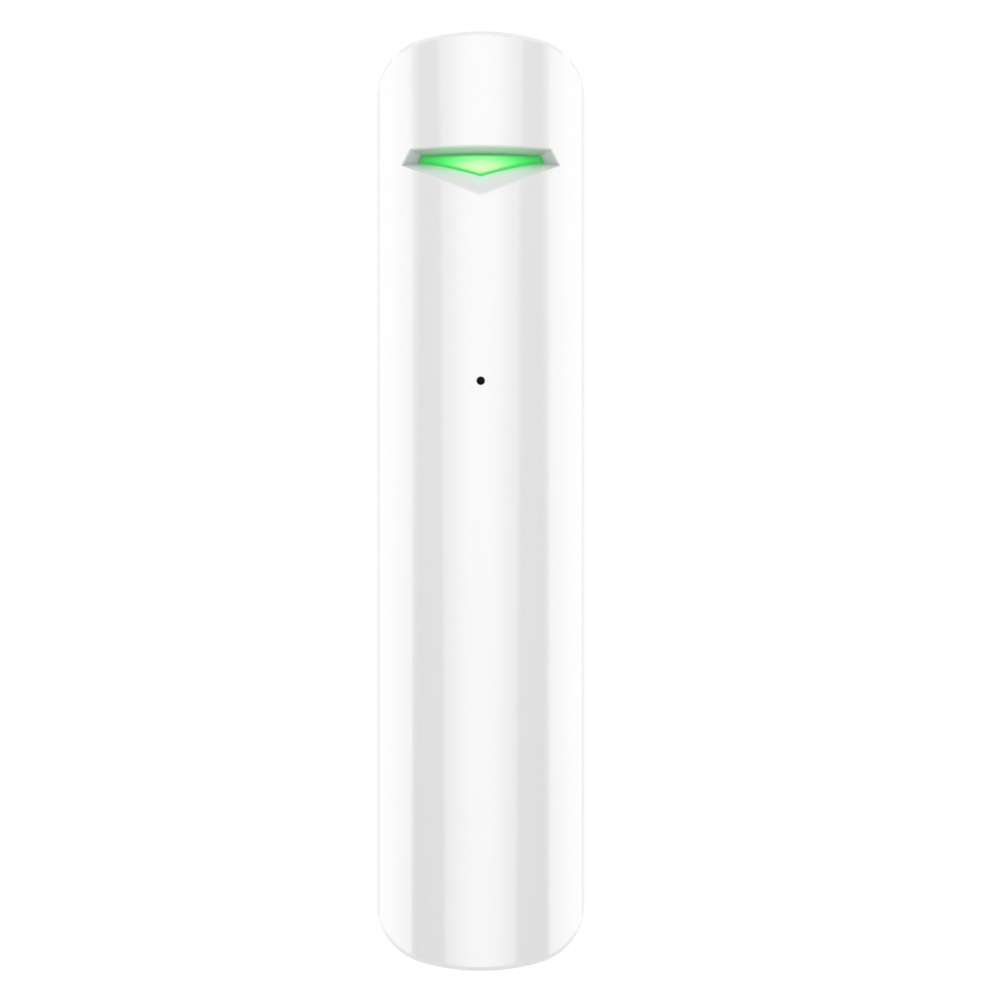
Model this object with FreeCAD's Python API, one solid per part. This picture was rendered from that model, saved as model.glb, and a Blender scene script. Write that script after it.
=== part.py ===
import FreeCAD, Part
import math
import os

# Glass break sensor for a wall: a slim white rod with a rounded front, a lit V-shaped recess near its
# top and a small sound hole above its middle. It hangs on a flat bracket by four hooks.
# Frame: X across, Z up, the front faces -Y and the wall is the plane y = 0. The origin is the centre of
# the bracket's face on the wall. All sizes are in millimetres.

V = FreeCAD.Vector

# Walls and clearances
FRONT_WALL = 1.3
REAR_WALL = 1.2
BATTERY_CLEARANCE = 0.2      # all round the cell
FIT = 0.1                    # between parts that are put together
SLIDE_FIT = 0.2              # round parts that travel

# Ends, as seen from the front
CROWN_RADIUS = 21.0          # flat arc over each end
CORNER_RADIUS = 5.9          # between that arc and the straight sides
END_OVERRUN = 0.02           # the end outline is this much wider than the rod, so that its arcs cross the sides
FRONT_EDGE = 0.3             # bevels of the front and rear edges
REAR_EDGE = 0.4

# Depth of the housing
STRAIGHT_DEPTH = 5.0         # flat sides, from the round front back to the seam
SIDE_ARC_RUN = 1.4           # how far the rear side arcs would run on past the wall plane
SEAM_GROOVE_WIDTH = 0.3
SEAM_GROOVE_DEPTH = 0.2
TONGUE_WALL = 0.7
TONGUE_HEIGHT = 1.2          # how far the rear cover's tongue stands into the front cover
TONGUE_ROOT = 1.0

# Cell
CELL_DIAMETER = 17.0
CELL_LENGTH = 34.5           # with its pole
POLE_DIAMETER = 6.4
POLE_HEIGHT = 1.2

# Bracket on the wall
BRACKET_THICKNESS = 1.6
BRACKET_GAP = 0.1            # between the bracket and the rear cover
BRACKET_INSET = 0.35         # the bracket's ends stay inside the housing's
WALL_HOLE_SPACING = 50.0
WALL_HOLE_DIAMETER = 3.4
WALL_HOLE_SINK = 5.6
HOOK_WIDTH = 2.4
HOOK_STEM = 2.0
HOOK_LIP = 3.6
HOOK_THICKNESS = 0.9
HOOK_PLAY = 0.15             # between a lip and the rear wall that it holds
HOOK_TO_CELL = 0.45
RELEASE_TRAVEL = 4.0         # the detector slides up this far, then comes off the hooks
UPPER_HOOKS_Z = 20.0
LOWER_HOOKS_Z = -28.0
TAB_WIDTH = 9.6              # piece that breaks away if the detector is torn off
TAB_SLIT = 0.6
TAB_BRIDGE = 0.9
TAB_MARGIN = 2.9
TAB_SCREW_BELOW = 5.0        # its screw, below the plunger
CABLE_WINDOW_WIDTH = 7.0
CABLE_WINDOW_ROUND = 1.0

# Case screws
SCREW_DIAMETER = 2.2
SCREW_LENGTH = 8.0
SCREW_HEAD_DIAMETER = 4.0
SCREW_HEAD_HEIGHT = 1.4
SCREW_RECESS = 1.8           # width of the cross
SCREW_HEAD_SUNK = 0.5        # head below the back face
SEAT_THICKNESS = 1.2
SEAT_WALL = 0.5
BOSS_DIAMETER = 3.8
BOSS_TO_END = 0.4
BOSS_IN_WALL = 0.3           # the lower boss runs into the wall that carries the cell's contact
BOSS_JOINT = 0.6             # how far behind the seam the bosses of the two covers meet
RIB = 0.8

# Lit recess: half outlines (x, z) of its mouth and of the lens, from the mouth's lowest point
MOUTH_SIDE = (7.60, 2.93)
MOUTH_TOP = (6.74, 4.50)
MOUTH_CROWN = 4.84
LENS_TIP = 1.96
LENS_SIDE = (6.06, 3.12)
LENS_TOP = (5.72, 3.85)
LENS_CROWN = 4.06
LENS_BOW = 0.14              # its lower edges bow inwards by this much
RECESS_DEPTH = 1.8
RECESS_OVERRUN = 0.25        # the cutter goes on past the mouth by this share of the depth
WELL_WALL = 1.0

# Light guide
GUIDE_FLANGE = 1.0
GUIDE_FLANGE_LIP = 0.7
GUIDE_ENTRY = 2.6            # side of the square column over the LED
GUIDE_LEG = 1.2
GUIDE_LEG_SPACING = 12.0
LED_SIZE = 1.6
LED_LENS = 1.2
LED_HEIGHT = 0.6
LED_GAP = 0.25

# Circuit board and what stands on its front, from the top down
BOARD_THICKNESS = 1.0
BOARD_AHEAD = 1.0            # back face, ahead of the cell's axis
BOARD_SIDE_CLEARANCE = 0.27
BOARD_ROUND = 1.2
BOARD_TO_BOSS = 0.3
BOARD_TO_MOUTH = 5.1
MOUTH_TO_SHIELD = 2.06
SHIELD_SIZE = 11.0
SHIELD_HEIGHT = 2.0
SHIELD_SHEET = 0.3
SHIELD_HOLE = 1.2
SHIELD_TO_BOOT = 0.77
BOOT_DIAMETER = 7.8
BOOT_TO_CHIP = 1.13
CHIP_SIZE = 5.0
CHIP_HEIGHT = 0.9
CHIP_TO_EDGE = 2.5
BOARD_TO_CELL = 2.1
RAIL_BEARING = 0.8           # of the board's edge on the rails of the front cover
SNAP_BEAD = 0.6
SNAP_LENGTH = 3.0
BOARD_POST = 1.8             # side of the square posts that hold the board down
BOARD_POST_INSET = 2.2

# Microphone
CAPSULE_DIAMETER = 6.0
CAPSULE_HEIGHT = 2.7
SOUND_HOLE = 0.8
SOUND_CHANNEL = 1.6
MESH_DIAMETER = 4.6
MESH_THICKNESS = 0.15
MESH_PAD = 5.2               # side of the square pad that the mesh lies on
MESH_DEPTH = 2.25            # seat of the mesh, behind the outer face

# Small electronics
CRYSTAL_LENGTH = 3.2
CRYSTAL_WIDTH = 1.5
CRYSTAL_HEIGHT = 0.8
PASSIVE_LENGTH = 1.2
PASSIVE_WIDTH = 0.7
PASSIVE_HEIGHT = 0.5
PASSIVE_PITCH = 1.6
PASSIVES_A_SIDE = 4
CAPACITOR_DIAMETER = 4.0
CAPACITOR_HEIGHT = 5.0
CAPACITOR_BASE = 4.3
CAPACITOR_BASE_HEIGHT = 0.6
CAPACITOR_TO_EDGE = 3.2

# Antenna: a wire coil on the back of the board
ANTENNA_WIRE = 0.8
ANTENNA_DIAMETER = 4.4
ANTENNA_PITCH = 3.6
ANTENNA_TURNS = 3
ANTENNA_TO_EDGE = 3.0        # its axis, in from the side of the board
ANTENNA_STAND_OFF = 2.4      # coil, from the back of the board
ANTENNA_ABOVE_TAMPER = 3.6

# Switches on the back of the board, and what presses them
SWITCH_SIZE = 4.5
SWITCH_HEIGHT = 3.5
STEM_SIDE = 1.8
STEM_SOCKET = 1.4
STEM_REACH = 0.9             # of the stem inside the switch
POWER_STEM_OUT = 4.4         # stem of the power switch, out of its body
POWER_BELOW_TERMINAL = 6.0
BUTTON_DIAMETER = 5.6
BUTTON_FLANGE = 7.2
BUTTON_FLANGE_THICKNESS = 0.7
BUTTON_SUNK = 0.2            # cap below the back face
BUTTON_TRAVEL = 0.3
TAMPER_ABOVE_EDGE = 11.5     # plunger, above the board's lower edge
TAMPER_STEM_OUT = 1.2
PLUNGER_DIAMETER = 2.4
PLUNGER_SHAFT = 1.8          # side of its square shaft
COLLAR_DIAMETER = 4.6
COLLAR_THICKNESS = 0.7
PLUNGER_TRAVEL = 0.4
SPRING_DIAMETER = 3.9
SPRING_WIRE = 0.35
SPRING_TURNS = 3

# Terminal for a wired contact
TERMINAL_WIDTH = 6.4
TERMINAL_HEIGHT = 5.6
TERMINAL_BELOW_TOP = 2.4
TERMINAL_POLES = 2
TERMINAL_HOLE = 1.6
TERMINAL_HOLE_DEPTH = 5.0
CLAMP_WALL = 0.25
CLAMP_SETBACK = 0.5
TERMINAL_TO_WALL = 0.2       # its face, inside the rear cover's inner face

# Cell contacts and lead
CONTACT_SHEET = 0.3
CONTACT_WIDTH = 5.0
CONTACT_TAB = 3.8
CONTACT_REACH = 2.0          # of the positive leaf past the cell's axis
SPRING_SPACE = 1.0           # between the cell and the wall that carries the negative leaf
CROSS_WALL = 1.2
STOP_WALL = 1.0
LEAD_DIAMETER = 1.0
LEAD_BEND = 1.5
LEAD_ANGLE = 46.0            # round the cell, from straight behind it
LEAD_TO_CELL = 0.5
LEAD_END_ABOVE_EDGE = 2.0

# Places worked out from the sizes above
CELL_RADIUS = CELL_DIAMETER / 2
LEAD_RADIUS = CELL_RADIUS + LEAD_TO_CELL + LEAD_DIAMETER / 2
LEAD_X = LEAD_RADIUS * math.sin(math.radians(LEAD_ANGLE))
LEAD_BEHIND_AXIS = LEAD_RADIUS * math.cos(math.radians(LEAD_ANGLE))
HALF_WIDTH = CELL_RADIUS + BATTERY_CLEARANCE + FRONT_WALL
BACK_Y = -(BRACKET_THICKNESS + BRACKET_GAP)
INNER_BACK_Y = BACK_Y - REAR_WALL
AXIS_Y = INNER_BACK_Y - BATTERY_CLEARANCE - CELL_RADIUS
FRONT_Y = AXIS_Y - HALF_WIDTH
SEAM_Y = AXIS_Y + STRAIGHT_DEPTH
REAR_RADIUS = SIDE_ARC_RUN - SEAM_Y
REAR_CENTRE_X = HALF_WIDTH - REAR_RADIUS
BOSS_Y = SEAM_Y + BOSS_JOINT

HALF_LENGTH = (
    2 * (FRONT_WALL + BOSS_TO_END + BOSS_DIAMETER) + BOARD_TO_BOSS + BOARD_TO_MOUTH + MOUTH_CROWN
    + MOUTH_TO_SHIELD + SHIELD_SIZE + SHIELD_TO_BOOT + BOOT_DIAMETER + BOOT_TO_CHIP + CHIP_SIZE
    + CHIP_TO_EDGE + BOARD_TO_CELL + CELL_LENGTH + SPRING_SPACE + CROSS_WALL - BOSS_IN_WALL
) / 2
SCREW_Z = HALF_LENGTH - FRONT_WALL - BOSS_TO_END - BOSS_DIAMETER / 2
BOARD_TOP = SCREW_Z - BOSS_DIAMETER / 2 - BOARD_TO_BOSS
MOUTH_Z = BOARD_TOP - BOARD_TO_MOUTH - MOUTH_CROWN
SHIELD_Z = MOUTH_Z - MOUTH_TO_SHIELD - SHIELD_SIZE / 2
SOUND_Z = SHIELD_Z - SHIELD_SIZE / 2 - SHIELD_TO_BOOT - BOOT_DIAMETER / 2
CHIP_Z = SOUND_Z - BOOT_DIAMETER / 2 - BOOT_TO_CHIP - CHIP_SIZE / 2
BOARD_BOTTOM = CHIP_Z - CHIP_SIZE / 2 - CHIP_TO_EDGE
CELL_TOP = BOARD_BOTTOM - BOARD_TO_CELL
CELL_BOTTOM = CELL_TOP - CELL_LENGTH
CROSS_WALL_TOP = CELL_BOTTOM - SPRING_SPACE
LED_Z = MOUTH_Z + (LENS_TIP + LENS_CROWN) / 2

BOARD_BACK = AXIS_Y - BOARD_AHEAD
BOARD_FRONT = BOARD_BACK - BOARD_THICKNESS
BOARD_HALF = math.sqrt((HALF_WIDTH - FRONT_WALL) ** 2 - (BOARD_FRONT - AXIS_Y) ** 2) - BOARD_SIDE_CLEARANCE
ANTENNA_X = ANTENNA_TO_EDGE - BOARD_HALF
CAPACITOR_X = BOARD_HALF - CAPACITOR_TO_EDGE
LENS_RADIUS = HALF_WIDTH - RECESS_DEPTH
GUIDE_SEAT_Y = AXIS_Y - math.sqrt(LENS_RADIUS ** 2 - (LENS_SIDE[0] + GUIDE_FLANGE_LIP) ** 2) + FIT
MESH_Y = FRONT_Y + MESH_DEPTH

TERMINAL_Z = BOARD_TOP - TERMINAL_BELOW_TOP - TERMINAL_HEIGHT / 2
POWER_Z = TERMINAL_Z - TERMINAL_HEIGHT / 2 - POWER_BELOW_TERMINAL
TAMPER_Z = BOARD_BOTTOM + TAMPER_ABOVE_EDGE
SWITCH_Y = BOARD_BACK + SWITCH_HEIGHT
POWER_STEM_END = SWITCH_Y + POWER_STEM_OUT
TAMPER_STEM_END = SWITCH_Y + TAMPER_STEM_OUT
TERMINAL_FACE = INNER_BACK_Y - TERMINAL_TO_WALL
HEAD_SEAT_Y = BACK_Y - SCREW_HEAD_SUNK - SCREW_HEAD_HEIGHT
FLANGE_Y = INNER_BACK_Y - FIT

HOOK_LIP_BACK = INNER_BACK_Y - HOOK_PLAY
HOOK_LIP_FRONT = HOOK_LIP_BACK - HOOK_THICKNESS
HOOK_INNER = math.sqrt(CELL_RADIUS ** 2 - (HOOK_LIP_FRONT - HOOK_TO_CELL - AXIS_Y) ** 2)
HOOK_OUTER = HOOK_INNER + HOOK_WIDTH


def line(a, b):
    return Part.LineSegment(a, b).toShape()


def arc(a, b, c):
    return Part.Arc(a, b, c).toShape()


def box(x0, x1, y0, y1, z0, z1):
    return Part.makeBox(x1 - x0, y1 - y0, z1 - z0, V(x0, y0, z0))


def rod(diameter, y0, y1, x, z):
    """Cylinder along Y."""
    return Part.makeCylinder(diameter / 2, y1 - y0, V(x, y0, z), V(0, 1, 0))


def column(side, y0, y1, x, z):
    """Square column along Y."""
    return box(x - side / 2, x + side / 2, y0, y1, z - side / 2, z + side / 2)


def cone(diameter0, diameter1, y0, y1, x, z):
    """Cone along Y, from the first diameter at y0 to the second at y1."""
    return Part.makeCone(diameter0 / 2, diameter1 / 2, y1 - y0, V(x, y0, z), V(0, 1, 0))


def join(shapes):
    first, *rest = shapes
    return first.fuse(rest).removeSplitter() if rest else first


def mirrored(shape):
    """The shape and its twin on the other side of the middle plane."""
    return [shape, shape.mirror(V(0, 0, 0), V(1, 0, 0))]


def rounded_plate(width, height, round_off, y0, y1, x, z):
    """Rectangular plate in the XZ plane with round corners."""
    plate = box(x - width / 2, x + width / 2, y0, y1, z - height / 2, z + height / 2)
    corners = [e for e in plate.Edges if abs(e.tangentAt(e.FirstParameter).y) > 0.99]
    return plate.makeFillet(round_off, corners)


def end_outline(inset):
    """Front outline: straight sides, and at each end a flat arc between two corner arcs."""
    half = HALF_WIDTH - inset + END_OVERRUN
    crown, corner = CROWN_RADIUS - inset, CORNER_RADIUS - inset
    centre_x = half - corner
    crown_z = HALF_LENGTH - inset - crown
    centre_z = crown_z + math.sqrt((crown - corner) ** 2 - centre_x ** 2)
    lean = math.atan2(centre_x, centre_z - crown_z)

    def on_corner(angle):
        return centre_x + corner * math.sin(angle), centre_z + corner * math.cos(angle)

    join_x, join_z = on_corner(lean)
    mid_x, mid_z = on_corner((lean + math.pi / 2) / 2)
    edges = []
    for up in (1, -1):
        edges.append(arc(V(half * up, 0, centre_z * up), V(mid_x * up, 0, mid_z * up),
                         V(join_x * up, 0, join_z * up)))
        edges.append(arc(V(join_x * up, 0, join_z * up), V(0, 0, (HALF_LENGTH - inset) * up),
                         V(-join_x * up, 0, join_z * up)))
        edges.append(arc(V(-join_x * up, 0, join_z * up), V(-mid_x * up, 0, mid_z * up),
                         V(-half * up, 0, centre_z * up)))
        edges.append(line(V(-half * up, 0, centre_z * up), V(-half * up, 0, -centre_z * up)))
    return Part.Wire(edges)


def cross_section(inset, back_y):
    """Section across the rod: a round front, short straight sides, and arcs that draw in to the back."""
    half = HALF_WIDTH - inset
    rear = REAR_RADIUS - inset
    back = max(back_y, SEAM_Y + TONGUE_ROOT)
    lean = math.asin((back - SEAM_Y) / rear)
    flat = REAR_CENTRE_X + rear * math.cos(lean)
    mid = V(REAR_CENTRE_X + rear * math.cos(lean / 2), SEAM_Y + rear * math.sin(lean / 2), 0)
    return Part.Wire([
        line(V(-flat, back, 0), V(flat, back, 0)),
        arc(V(flat, back, 0), mid, V(half, SEAM_Y, 0)),
        line(V(half, SEAM_Y, 0), V(half, AXIS_Y, 0)),
        arc(V(half, AXIS_Y, 0), V(0, AXIS_Y - half, 0), V(-half, AXIS_Y, 0)),
        line(V(-half, AXIS_Y, 0), V(-half, SEAM_Y, 0)),
        arc(V(-half, SEAM_Y, 0), V(-mid.x, mid.y, 0), V(-flat, back, 0)),
    ])


def form(inset, y0, y1, end_inset=None):
    """The housing's form, drawn in by inset, between two depths."""
    rod_form = Part.Face(cross_section(inset, y1)).extrude(V(0, 0, 2 * HALF_LENGTH))
    rod_form.translate(V(0, 0, -HALF_LENGTH))
    ends = Part.Face(end_outline(inset if end_inset is None else end_inset)).extrude(V(0, y1 - y0, 0))
    ends.translate(V(0, y0, 0))
    return rod_form.common(ends)


def cavity(clearance=0.0):
    """Space inside the front cover, less a clearance."""
    return form(FRONT_WALL + clearance, FRONT_Y, SEAM_Y)


def recess_outline(share):
    """Recess outline in the XZ plane: share 0 gives the lens, and share 1 the mouth."""
    def blend(lens, mouth):
        return lens + share * (mouth - lens)

    side_x, side_z = blend(LENS_SIDE[0], MOUTH_SIDE[0]), MOUTH_Z + blend(LENS_SIDE[1], MOUTH_SIDE[1])
    top_x, top_z = blend(LENS_TOP[0], MOUTH_TOP[0]), MOUTH_Z + blend(LENS_TOP[1], MOUTH_TOP[1])
    tip = V(0, 0, MOUTH_Z + blend(LENS_TIP, 0.0))
    crown = V(0, 0, MOUTH_Z + blend(LENS_CROWN, MOUTH_CROWN))

    def lower_edge(a, b):
        bow = max(1.0 - share, 0.0) * LENS_BOW
        return arc(a, (a + b) * 0.5 + V(0, 0, bow), b) if bow else line(a, b)

    return Part.Wire([
        lower_edge(tip, V(side_x, 0, side_z)),
        line(V(side_x, 0, side_z), V(top_x, 0, top_z)),
        arc(V(top_x, 0, top_z), crown, V(-top_x, 0, top_z)),
        line(V(-top_x, 0, top_z), V(-side_x, 0, side_z)),
        lower_edge(V(-side_x, 0, side_z), tip),
    ])


def recess_prism(wire, y0, y1):
    prism = Part.Face(wire).extrude(V(0, y1 - y0, 0))
    prism.translate(V(0, y0, 0))
    return prism


def recess_patch(share):
    """The recess outline laid on a cylinder about the cell's axis."""
    radius = LENS_RADIUS + share * RECESS_DEPTH
    barrel = Part.makeCylinder(radius, 2 * HALF_LENGTH, V(0, AXIS_Y, -HALF_LENGTH))
    skin = [f for f in barrel.Faces if isinstance(f.Surface, Part.Cylinder)][0]
    patch = skin.common(recess_prism(recess_outline(share), FRONT_Y - HALF_WIDTH, AXIS_Y))
    return patch.Faces[0]


def middle(edge):
    return edge.valueAt((edge.FirstParameter + edge.LastParameter) / 2)


def recess_cutter():
    """The V-shaped recess: its walls slope from the mouth, on the housing's skin, down to the lens."""
    floor, mouth = recess_patch(0.0), recess_patch(1.0 + RECESS_OVERRUN)
    walls = []
    for edge in floor.Edges:
        partner = min(mouth.Edges, key=lambda e: middle(e).distanceToPoint(middle(edge)))
        walls.append(Part.makeRuledSurface(edge, partner))
    shell = Part.Shell([floor, mouth] + walls)
    shell.sewShape()
    solid = Part.Solid(shell)
    if solid.Volume < 0:
        solid.reverse()
    return solid


def light_well():
    """Socket inside the front cover that the recess and the light guide's lens stand in."""
    outline = recess_outline(1.0).makeOffset2D(WELL_WALL)
    block = recess_prism(outline, FRONT_Y, GUIDE_SEAT_Y)
    return block.common(form(FRONT_WALL / 2, FRONT_Y, SEAM_Y))


def board_rails():
    """Ledges along both sides, end stops and snap beads that hold the circuit board."""
    inner = BOARD_HALF - RAIL_BEARING
    ledge = box(inner, HALF_WIDTH, BOARD_FRONT - RAIL_BEARING, BOARD_FRONT, BOARD_BOTTOM, BOARD_TOP)
    parts = [ledge]
    for z0 in (BOARD_BOTTOM - FIT - RIB, BOARD_TOP + FIT):
        parts.append(box(inner - RAIL_BEARING, HALF_WIDTH, BOARD_FRONT - RAIL_BEARING, BOARD_BACK, z0, z0 + RIB))
    bead_y = BOARD_BACK + FIT / 2
    for z in (SOUND_Z - BOOT_DIAMETER / 2, SHIELD_Z + SHIELD_SIZE / 2):
        parts.append(box(BOARD_HALF - SNAP_BEAD / 2, HALF_WIDTH, bead_y, bead_y + SNAP_BEAD,
                         z - SNAP_LENGTH / 2, z + SNAP_LENGTH / 2))
    skin = form(FRONT_WALL / 2, FRONT_Y, SEAM_Y)
    sides = [twin for part in parts for twin in mirrored(part)]
    return [side.common(skin) for side in sides]


def front_boss(up):
    """Screw boss of the front cover, with a rib to the end wall."""
    z = SCREW_Z * up
    skin = form(FRONT_WALL / 2, FRONT_Y, SEAM_Y)
    boss = rod(BOSS_DIAMETER, FRONT_Y + FRONT_WALL / 2, BOSS_Y, 0, z)
    rib_y = SEAM_Y - TONGUE_HEIGHT - SLIDE_FIT
    end = HALF_LENGTH * up
    rib = box(-RIB / 2, RIB / 2, FRONT_Y, rib_y, min(z, end), max(z, end)).common(skin)
    return [boss, rib]


def front_cover():
    """Front shell with the lit recess, the sound hole, the screw bosses and the board's seats."""
    outer = form(0, FRONT_Y, SEAM_Y)
    front_edges = [e for e in outer.Edges if isinstance(e.Curve, Part.BSplineCurve)]
    shell = outer.makeChamfer(FRONT_EDGE, front_edges).cut(cavity())
    skin = form(FRONT_WALL / 2, FRONT_Y, SEAM_Y)
    cross = box(-HALF_WIDTH, HALF_WIDTH, FRONT_Y, SEAM_Y - TONGUE_HEIGHT - SLIDE_FIT,
                CROSS_WALL_TOP - CROSS_WALL, CROSS_WALL_TOP).common(skin)
    stop_top = CELL_TOP - FIT
    stop = box(-HALF_WIDTH, HALF_WIDTH, FRONT_Y, AXIS_Y - POLE_DIAMETER / 2 - SLIDE_FIT,
               stop_top - STOP_WALL, stop_top).common(skin)
    pad = column(MESH_PAD, FRONT_Y + FRONT_WALL / 2, MESH_Y, 0, SOUND_Z)
    parts = [shell, light_well(), cross, stop, pad] + board_rails() + front_boss(1) + front_boss(-1)
    cover = join(parts)
    pilot = SCREW_DIAMETER + FIT
    pilot_end = HEAD_SEAT_Y - SCREW_LENGTH - SLIDE_FIT
    cuts = [recess_cutter(), recess_prism(recess_outline(0.0), FRONT_Y, SEAM_Y),
            rod(SOUND_HOLE, FRONT_Y - 1, MESH_Y + 1, 0, SOUND_Z)]
    cuts += [rod(pilot, pilot_end, BOSS_Y + 1, 0, SCREW_Z * up) for up in (1, -1)]
    return cover.cut(cuts)


def hook_slot(z, x_sign):
    """Slot in the rear wall: the hook enters low in it and slides under the wall above."""
    x0, x1 = sorted((x_sign * (HOOK_INNER - FIT), x_sign * (HOOK_OUTER + FIT)))
    return box(x0, x1, INNER_BACK_Y - 1, BACK_Y + 1, z - RELEASE_TRAVEL - SLIDE_FIT, z + HOOK_STEM + FIT)


def tongue():
    """Lip of the rear cover that locates it inside the front cover."""
    outer = FRONT_WALL + FIT
    y0 = SEAM_Y - TONGUE_HEIGHT
    y1 = SEAM_Y + TONGUE_ROOT
    ring = form(outer, y0, SEAM_Y).fuse(form(REAR_WALL / 2, SEAM_Y, y1))
    ring = ring.cut(form(outer + TONGUE_WALL, y0 - 1, y1 + 1))
    half = BOSS_DIAMETER / 2 + 2 * FIT
    return ring.cut(box(-half, half, y0 - 1, y1 + 1, -HALF_LENGTH, HALF_LENGTH))


def rear_cover():
    """Rear shell: tongue, screw seats, hook slots, and openings for the button, plunger and terminal."""
    groove_y = SEAM_Y + SEAM_GROOVE_WIDTH
    body = form(0, groove_y, BACK_Y)
    edges = [e for e in body.Edges
             if abs(middle(e).y - BACK_Y) < 1e-6 and abs(middle(e).z) > HALF_LENGTH - CORNER_RADIUS]
    body = body.makeChamfer(REAR_EDGE, edges)
    shell = body.fuse(form(SEAM_GROOVE_DEPTH, SEAM_Y, groove_y)).cut(form(REAR_WALL, SEAM_Y - 1, INNER_BACK_Y))
    skin = form(REAR_WALL / 2, SEAM_Y - STRAIGHT_DEPTH, BACK_Y)
    seat = SCREW_HEAD_DIAMETER + 2 * (SLIDE_FIT + SEAT_WALL)
    parts = [shell, tongue()]
    for up in (1, -1):
        parts.append(rod(seat, BOSS_Y, BACK_Y - REAR_WALL / 2, 0, SCREW_Z * up).common(skin))
    for z in (BOARD_TOP - BOARD_POST_INSET, BOARD_BOTTOM + LEAD_END_ABOVE_EDGE + 2 * BOARD_POST):
        parts += mirrored(column(BOARD_POST, BOARD_BACK + FIT, INNER_BACK_Y, BOARD_HALF - BOARD_POST_INSET, z))
    guide = COLLAR_DIAMETER + 2 * (SLIDE_FIT + SEAT_WALL)
    guide_end = FLANGE_Y - COLLAR_THICKNESS - PLUNGER_TRAVEL - SLIDE_FIT
    parts.append(column(guide, guide_end, INNER_BACK_Y, 0, TAMPER_Z))
    cover = join(parts)
    cuts = [hook_slot(z, side) for z in (UPPER_HOOKS_Z, LOWER_HOOKS_Z) for side in (1, -1)]
    for up in (1, -1):
        cuts.append(rod(SCREW_HEAD_DIAMETER + 2 * SLIDE_FIT, HEAD_SEAT_Y, BACK_Y + 1, 0, SCREW_Z * up))
        cuts.append(rod(SCREW_DIAMETER + 2 * FIT, BOSS_Y - 1, BACK_Y, 0, SCREW_Z * up))
    cuts.append(rod(BUTTON_DIAMETER + 2 * SLIDE_FIT, INNER_BACK_Y - 1, BACK_Y + 1, 0, POWER_Z))
    cuts.append(rod(PLUNGER_DIAMETER + 2 * SLIDE_FIT, INNER_BACK_Y - 1, BACK_Y + 1, 0, TAMPER_Z))
    cuts.append(rod(COLLAR_DIAMETER + 2 * SLIDE_FIT, guide_end - 1, INNER_BACK_Y, 0, TAMPER_Z))
    cuts.append(terminal_form(SLIDE_FIT, INNER_BACK_Y - 1, BACK_Y + 1))
    return cover.cut(cuts)


def hook(z, x_sign):
    """L-shaped hook of the bracket, with its lip pointing up."""
    x0, x1 = sorted((x_sign * HOOK_INNER, x_sign * HOOK_OUTER))
    stem = box(x0, x1, HOOK_LIP_FRONT, -BRACKET_THICKNESS / 2, z, z + HOOK_STEM)
    lip = box(x0, x1, HOOK_LIP_FRONT, HOOK_LIP_BACK, z, z + HOOK_STEM + HOOK_LIP)
    whole = stem.fuse(lip).removeSplitter()
    top = z + HOOK_STEM + HOOK_LIP
    lead_in = [e for e in whole.Edges if middle(e).z > top - FIT and abs(middle(e).y - HOOK_LIP_BACK) < FIT
               and abs(middle(e).x) > HOOK_INNER + FIT and abs(middle(e).x) < HOOK_OUTER - FIT]
    return whole.makeChamfer(HOOK_THICKNESS / 2, lead_in)


def tab_slits():
    """Slits round the break-away tab, with thin bridges left at its corners and sides."""
    top = TAMPER_Z + TAB_MARGIN
    bottom = TAMPER_Z - TAB_SCREW_BELOW - TAB_MARGIN
    y0, y1 = -BRACKET_THICKNESS - 1, 1
    half = TAB_WIDTH / 2
    ring = box(-half, half, y0, y1, bottom, top)
    ring = ring.cut(box(-half + TAB_SLIT, half - TAB_SLIT, y0 - 1, y1 + 1, bottom + TAB_SLIT, top - TAB_SLIT))
    mid_z = (top + bottom) / 2
    side_bridge = box(-half - 1, half + 1, y0 - 1, y1 + 1, mid_z - TAB_BRIDGE / 2, mid_z + TAB_BRIDGE / 2)
    end_bridge = box(-TAB_BRIDGE / 2, TAB_BRIDGE / 2, y0 - 1, y1 + 1, bottom - 1, top + 1)
    return ring.cut([side_bridge, end_bridge])


def mounting_bracket():
    """Wall plate with four hooks, two screw holes, a cable window and the break-away tab."""
    plate = form(0, -BRACKET_THICKNESS, 0, end_inset=BRACKET_INSET)
    hooks = [hook(z, side) for z in (UPPER_HOOKS_Z, LOWER_HOOKS_Z) for side in (1, -1)]
    sink = (WALL_HOLE_SINK - WALL_HOLE_DIAMETER) / 2
    cuts = [tab_slits(), rounded_plate(CABLE_WINDOW_WIDTH, TERMINAL_HEIGHT, CABLE_WINDOW_ROUND,
                                       -BRACKET_THICKNESS - 1, 1, 0, TERMINAL_Z)]
    for z in (WALL_HOLE_SPACING / 2, -WALL_HOLE_SPACING / 2):
        cuts.append(rod(WALL_HOLE_DIAMETER, -BRACKET_THICKNESS - 1, 1, 0, z))
        cuts.append(cone(WALL_HOLE_SINK, WALL_HOLE_DIAMETER, -BRACKET_THICKNESS, sink - BRACKET_THICKNESS, 0, z))
    cuts.append(rod(WALL_HOLE_DIAMETER, -BRACKET_THICKNESS - 1, 1, 0, TAMPER_Z - TAB_SCREW_BELOW))
    return join([plate] + hooks).cut(cuts)


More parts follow.
